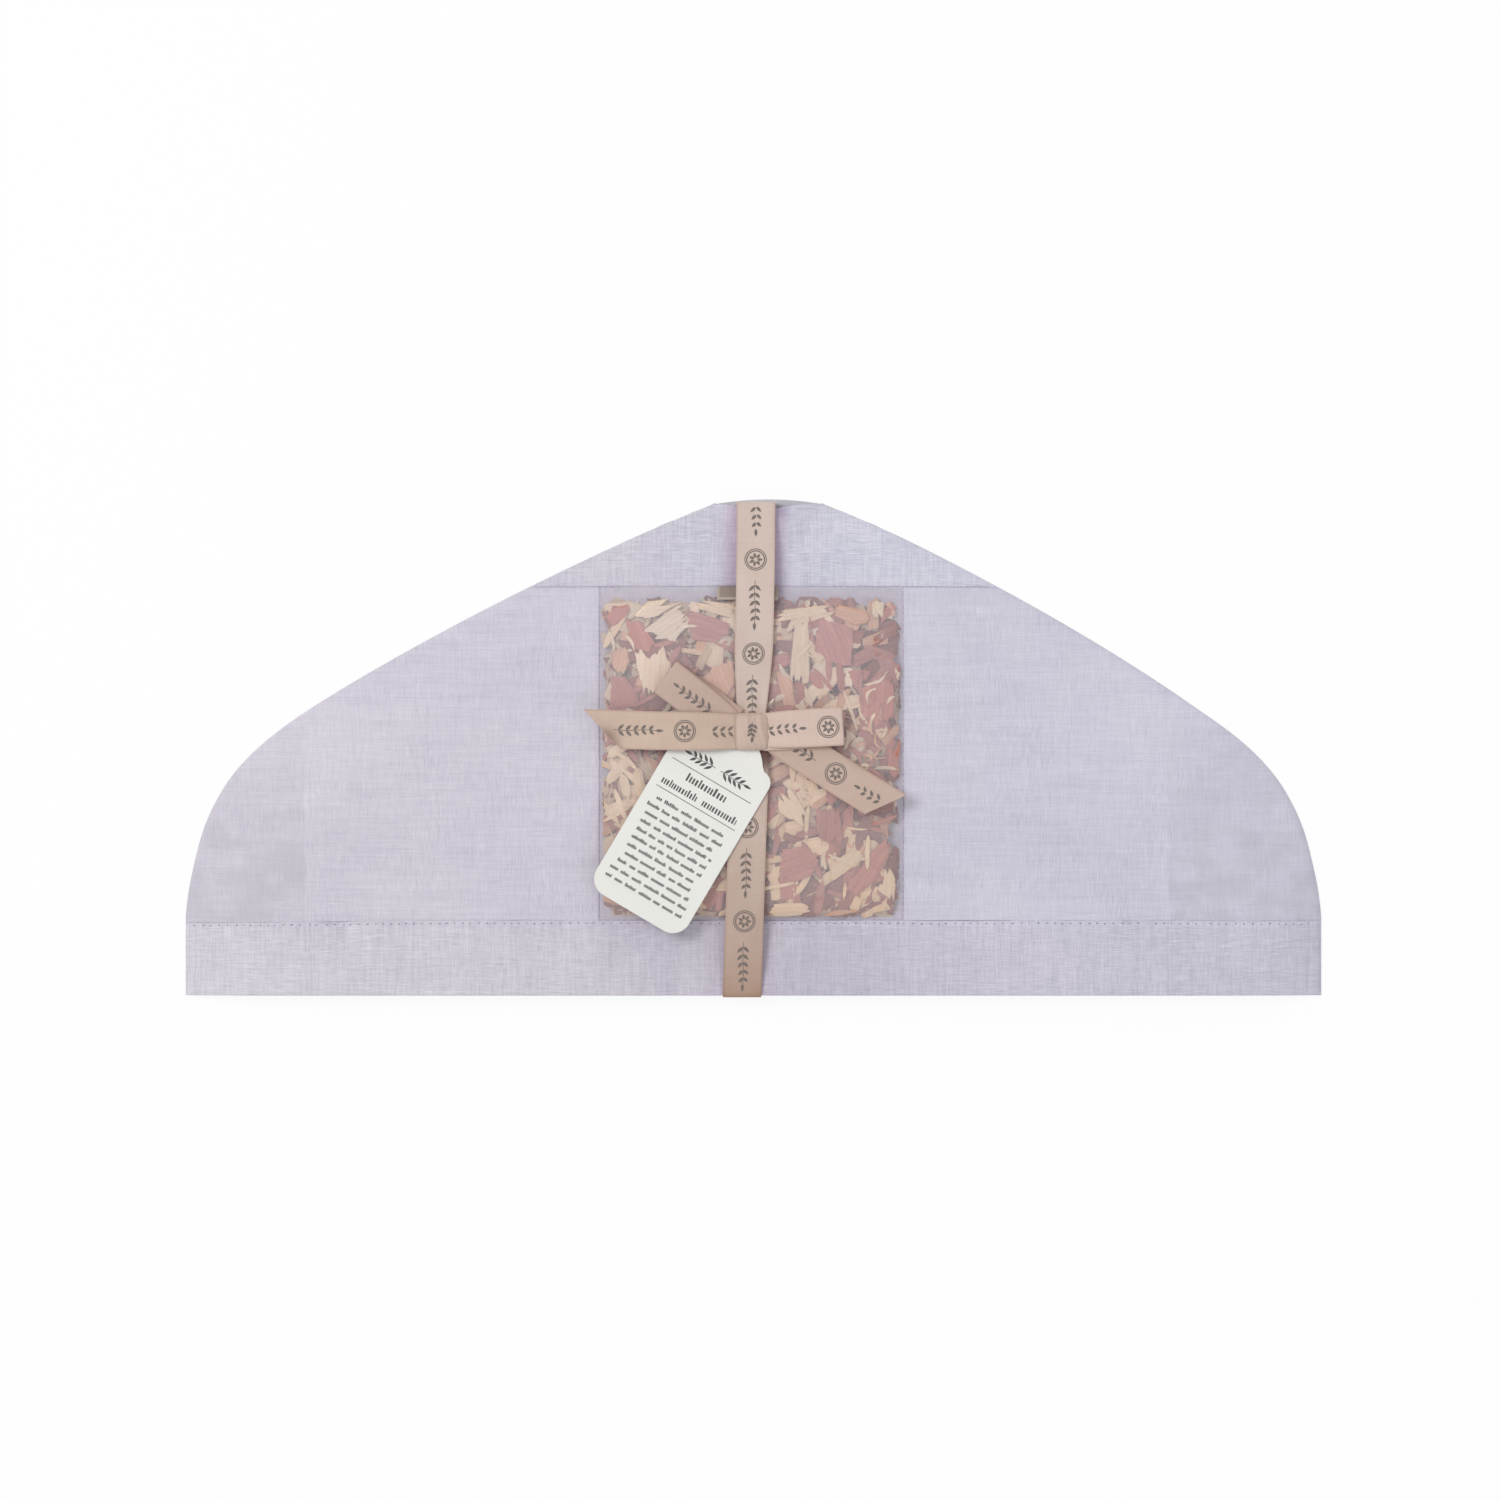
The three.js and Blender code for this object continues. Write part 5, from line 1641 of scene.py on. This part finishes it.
# Hang tag
TAG_HOLE = Vector((-6.8 * MM, KNOT_Y - 2.7 * MM))
TAG_TURN = math.radians(-30.6)
TAG_HALF = 21.45 * MM
TAG_EAR_HALF = 14.7 * MM
TAG_EAR_RADIUS = 17.5 * MM
TAG_TOP = 3.8 * MM
TAG_SHOULDER = -5.95 * MM
TAG_SHOULDER_RADIUS = 5 * MM
TAG_FOOT = -81.15 * MM
TAG_FOOT_RADIUS = 7.5 * MM
TAG_HOLE_RADIUS = 2 * MM
TAG_STRAIGHT = 30 * MM
TAG_DROOP = 0.3 * MM
TAG_BEND_STEP = 2.5 * MM
CARD_SHARP = 30


def tag_outline():
    ear = math.degrees(math.asin(TAG_EAR_HALF / TAG_EAR_RADIUS))
    foot_x, foot_y = TAG_HALF - TAG_FOOT_RADIUS, TAG_FOOT + TAG_FOOT_RADIUS
    side_x, side_y = TAG_HALF - TAG_SHOULDER_RADIUS, TAG_SHOULDER - TAG_SHOULDER_RADIUS
    return (
        arc((foot_x, foot_y), TAG_FOOT_RADIUS, -90, 0, 16)
        + arc((side_x, side_y), TAG_SHOULDER_RADIUS, 0, 90, 14)
        + arc((0, TAG_TOP - TAG_EAR_RADIUS), TAG_EAR_RADIUS, 90 - ear, 90 + ear, 40)
        + arc((-side_x, side_y), TAG_SHOULDER_RADIUS, 90, 180, 14)
        + arc((-foot_x, foot_y), TAG_FOOT_RADIUS, 180, 270, 16)
    )


def flat_board(name, outlines, depth, bevel, material):
    """A flat board with the outlines, the first one outside, and softly rounded edges."""
    curve = bpy.data.curves.new(name, "CURVE")
    curve.dimensions = "2D"
    curve.fill_mode = "BOTH"
    curve.extrude = depth / 2 - bevel
    curve.bevel_depth = bevel
    curve.bevel_resolution = 2
    curve.offset = -bevel
    for outline in outlines:
        spline = curve.splines.new("POLY")
        spline.points.add(len(outline) - 1)
        for point, place in zip(spline.points, outline):
            point.co = (*place, 0, 1)
        spline.use_cyclic_u = True
    holder = add_object(name, curve)
    mesh = bpy.data.meshes.new_from_object(holder.evaluated_get(bpy.context.evaluated_depsgraph_get()))
    bpy.data.objects.remove(holder)
    mesh.name = name
    mesh.materials.clear()
    mesh.materials.append(material)
    return add_object(name, mesh)


def droop(y):
    """How far the card has bent down under its own weight, towards its foot."""
    return TAG_DROOP * (np.maximum(-y - TAG_STRAIGHT, 0) / (-TAG_FOOT - TAG_STRAIGHT)) ** 2


def cut_across(mesh, places):
    """Edges across a board at the given places, where it can bend."""
    board = bmesh.new()
    board.from_mesh(mesh)
    for y in places:
        geometry = board.verts[:] + board.edges[:] + board.faces[:]
        bmesh.ops.bisect_plane(board, geom=geometry, plane_co=(0, y, 0), plane_no=(0, 1, 0))
    for face in board.faces:
        face.smooth = True
    board.to_mesh(mesh)
    board.free()
    mesh.set_sharp_from_angle(angle=math.radians(CARD_SHARP))


def on_tag(x, y):
    """A place on the tag, from its hole, in plan."""
    cos, sin = math.cos(TAG_TURN), math.sin(TAG_TURN)
    return TAG_HOLE.x + x * cos - y * sin, TAG_HOLE.y + x * sin + y * cos


def tag_board():
    low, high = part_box("hang_tag")
    hole = arc((0, 0), TAG_HOLE_RADIUS, 0, 350, 36)
    card = flat_board("tag_board", [tag_outline(), hole], high.z - low.z, 0.1 * MM, tag_card)
    cut_across(card.data, np.arange(-TAG_STRAIGHT, TAG_FOOT, -TAG_BEND_STEP))
    for vertex in card.data.vertices:
        x, y, z = vertex.co
        vertex.co = (*on_tag(x, y), (low.z + high.z) / 2 + z - droop(y))
    belongs(card, "tag", "tag_card", "hang_tag")


RULE_HALF = 18.2 * MM
RULES = (-19.6 * MM, -32.2 * MM)
ORNAMENT = -14.6 * MM
HEADINGS = ((-23.6 * MM, 18.4 * MM, 3.2 * MM, 18.4 * MM), (-29.3 * MM, 34.6 * MM, 2.8 * MM, 16.3 * MM))
FIRST_LINE = -36.6 * MM
LINE_PITCH = 3.65 * MM
LINES = 11
CARD_INK = 0.015 * MM


def tag_print():
    """Rules, an ornament and rows of plain bars where a tag has its words."""
    surface = corner("hang_tag", 1, "z") + CARD_INK
    heap = Heap("tag_print", card_ink)
    generator = np.random.default_rng(77)

    def lay(shape):
        x, y = on_tag(shape[..., 0], shape[..., 1])
        z = surface - droop(shape[..., 1])
        heap.add(np.stack([x, y, z], -1), CARD_INK, shape[..., 0], shape[..., 1])

    def bar(x, y, width, height):
        lay(stroke([(x, y), (x + width / 2, y), (x + width, y)], height))

    def words(y, width, height, word_lengths, gap, block_shares, inked_share):
        """A centred row of bars, each cut into short blocks of uneven height."""
        x = -width / 2
        while x < width / 2 - gap:
            end = min(x + generator.uniform(*word_lengths), width / 2)
            while x < end - 0.3 * MM:
                pitch = generator.uniform(*block_shares) * height
                rise = generator.choice([0, 0, 0, 0.3]) * height
                bar(x, y + rise / 2, min(pitch, end - x) * inked_share, height * 0.78 + rise)
                x += pitch
            x += gap

    for y in RULES:
        bar(-RULE_HALF, y, 2 * RULE_HALF, 0.3 * MM)
    for y, width, height, word_length in HEADINGS:
        words(y, width, height, (word_length, word_length), 2.0 * MM, (0.36, 0.52), 0.58)
    for line in range(LINES):
        y, width = FIRST_LINE - line * LINE_PITCH, generator.uniform(30, 37.5) * MM
        words(y, width, 1.4 * MM, (2.5 * MM, 7.5 * MM), 1.1 * MM, (0.4, 0.62), 0.78)
    for shape in sprig(10.5 * MM, 4, 3.9 * MM, 1.15 * MM):
        lay(shape + [1.2 * MM, ORNAMENT])
        lay(shape * [-1, 1] + [-1.2 * MM, ORNAMENT])
    belongs(heap.build(), "tag", "tag_card")


tag_board()
tag_print()


# Woven label, folded double and caught in the yoke seam by both its ends
LABEL_THICKNESS = 0.16 * MM


def seam_label():
    low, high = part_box("seam_label")
    profile = level_profile("seam_label")
    fold, columns = 0.12 * MM, 30
    down = np.linspace(YOKE_SEAM_Y, YOKE_SEAM_Y - LABEL_LENGTH, 20)
    lay = np.interp(down, profile[:, 1], profile[:, 2]) - 0.05 * MM
    line = list(zip(down, lay))
    line += arc((down[-1], lay[-1] - fold), fold, 120, 240, 5)
    line += list(zip(down[::-1], lay[::-1] - 2 * fold))
    line = np.array(line)
    run = np.concatenate([[0], np.cumsum(np.hypot(*np.diff(line, axis=0).T))])
    x, y = np.meshgrid(np.linspace(high.x, low.x, columns), line[:, 0])
    z = np.repeat(line[:, 1:], columns, 1)
    uv = np.stack([np.repeat(run[:, None], columns, 1), x - (low.x + high.x) / 2], -1) / MM
    piece = closed_sheet("woven_label", np.stack([x, y, z], -1), LABEL_THICKNESS, label, uv)
    belongs(piece, "cover", "label", "seam_label")


seam_label()


# Floor, light and camera
PHOTO_SIZE = 1500
PHOTO_SCALE = 0.4023 * MM
PHOTO_ORIGIN = (753.5, 747.25)
PHOTO_RISE = 0.35 * MM
LENS = 180
SENSOR = 36
FOCAL_HEIGHT = 2 * MM
AMBIENT = 0.6
FLOOR_REACH = 3.0
FLOOR_Z = -0.05 * MM
FLOOR_GLOW = 0.9
LAMPS = (("key", (-1.35, 0.75, 1.9), 0.9, 24.1), ("fill", (0.9, -0.7, 1.2), 1.2, 3.0))


def seen(graph):
    """1 for what the camera sees by itself, in a reflection or through a piece, and 0 for light."""
    path = graph.tree.nodes.new("ShaderNodeLightPath")
    rays = [Value(graph, path.outputs[f"Is {kind} Ray"]) for kind in ("Camera", "Glossy", "Transmission")]
    return rays[0].larger(rays[1]).larger(rays[2])


def floor_material():
    graph = Graph(bpy.data.materials.new("pale_floor"))
    matt = {"Base Color": (0.95, 0.95, 0.95, 1), "Roughness": 1.0, "Specular IOR Level": 0.0}
    for socket, value in matt.items():
        graph.put(value, graph.shader.inputs[socket])
    glow = graph.out("Emission", {"Color": (1, 1, 1, 1), "Strength": 1.0})
    lit = Value(graph, graph.shader.outputs[0])
    mixed = graph.out("MixShader", {0: seen(graph) * FLOOR_GLOW, 1: lit, 2: glow})
    graph.put(mixed, graph.tree.nodes["Material Output"].inputs[0])
    return graph.owner


def studio():
    mesh = bpy.data.meshes.new("floor")
    around = ((-1, -1), (1, -1), (1, 1), (-1, 1))
    mesh.from_pydata([(FLOOR_REACH * x, FLOOR_REACH * y, FLOOR_Z) for x, y in around], [], [(0, 1, 2, 3)])
    mesh.materials.append(floor_material())
    add_object("floor", mesh)

    scene = bpy.context.scene
    scene.world = bpy.data.worlds.new("studio")
    graph = Graph(scene.world)
    sky = graph.tree.nodes["Background"]
    graph.put((1, 1, 1, 1), sky.inputs["Color"])
    graph.put(seen(graph).fade(0, 1, AMBIENT, 1.0), sky.inputs["Strength"])

    for name, place, size, power in LAMPS:
        lamp = bpy.data.lights.new(name, "AREA")
        lamp.size = size
        lamp.energy = power
        holder = add_object(name, lamp)
        holder.location = place
        holder.rotation_euler = (-Vector(place)).to_track_quat("-Z", "Y").to_euler()

    camera = bpy.data.cameras.new("camera")
    camera.lens, camera.sensor_width = LENS, SENSOR
    camera.clip_start, camera.clip_end = 0.01, 20
    holder = add_object("camera", camera)
    distance = PHOTO_SIZE * PHOTO_SCALE * LENS / SENSOR
    middle = PHOTO_SIZE / 2
    holder.location = (
        (middle - PHOTO_ORIGIN[0]) * PHOTO_SCALE,
        (PHOTO_ORIGIN[1] - middle) * PHOTO_SCALE + PHOTO_RISE,
        FOCAL_HEIGHT + distance,
    )
    scene.camera = holder
    scene.view_settings.view_transform = "Standard"


studio()
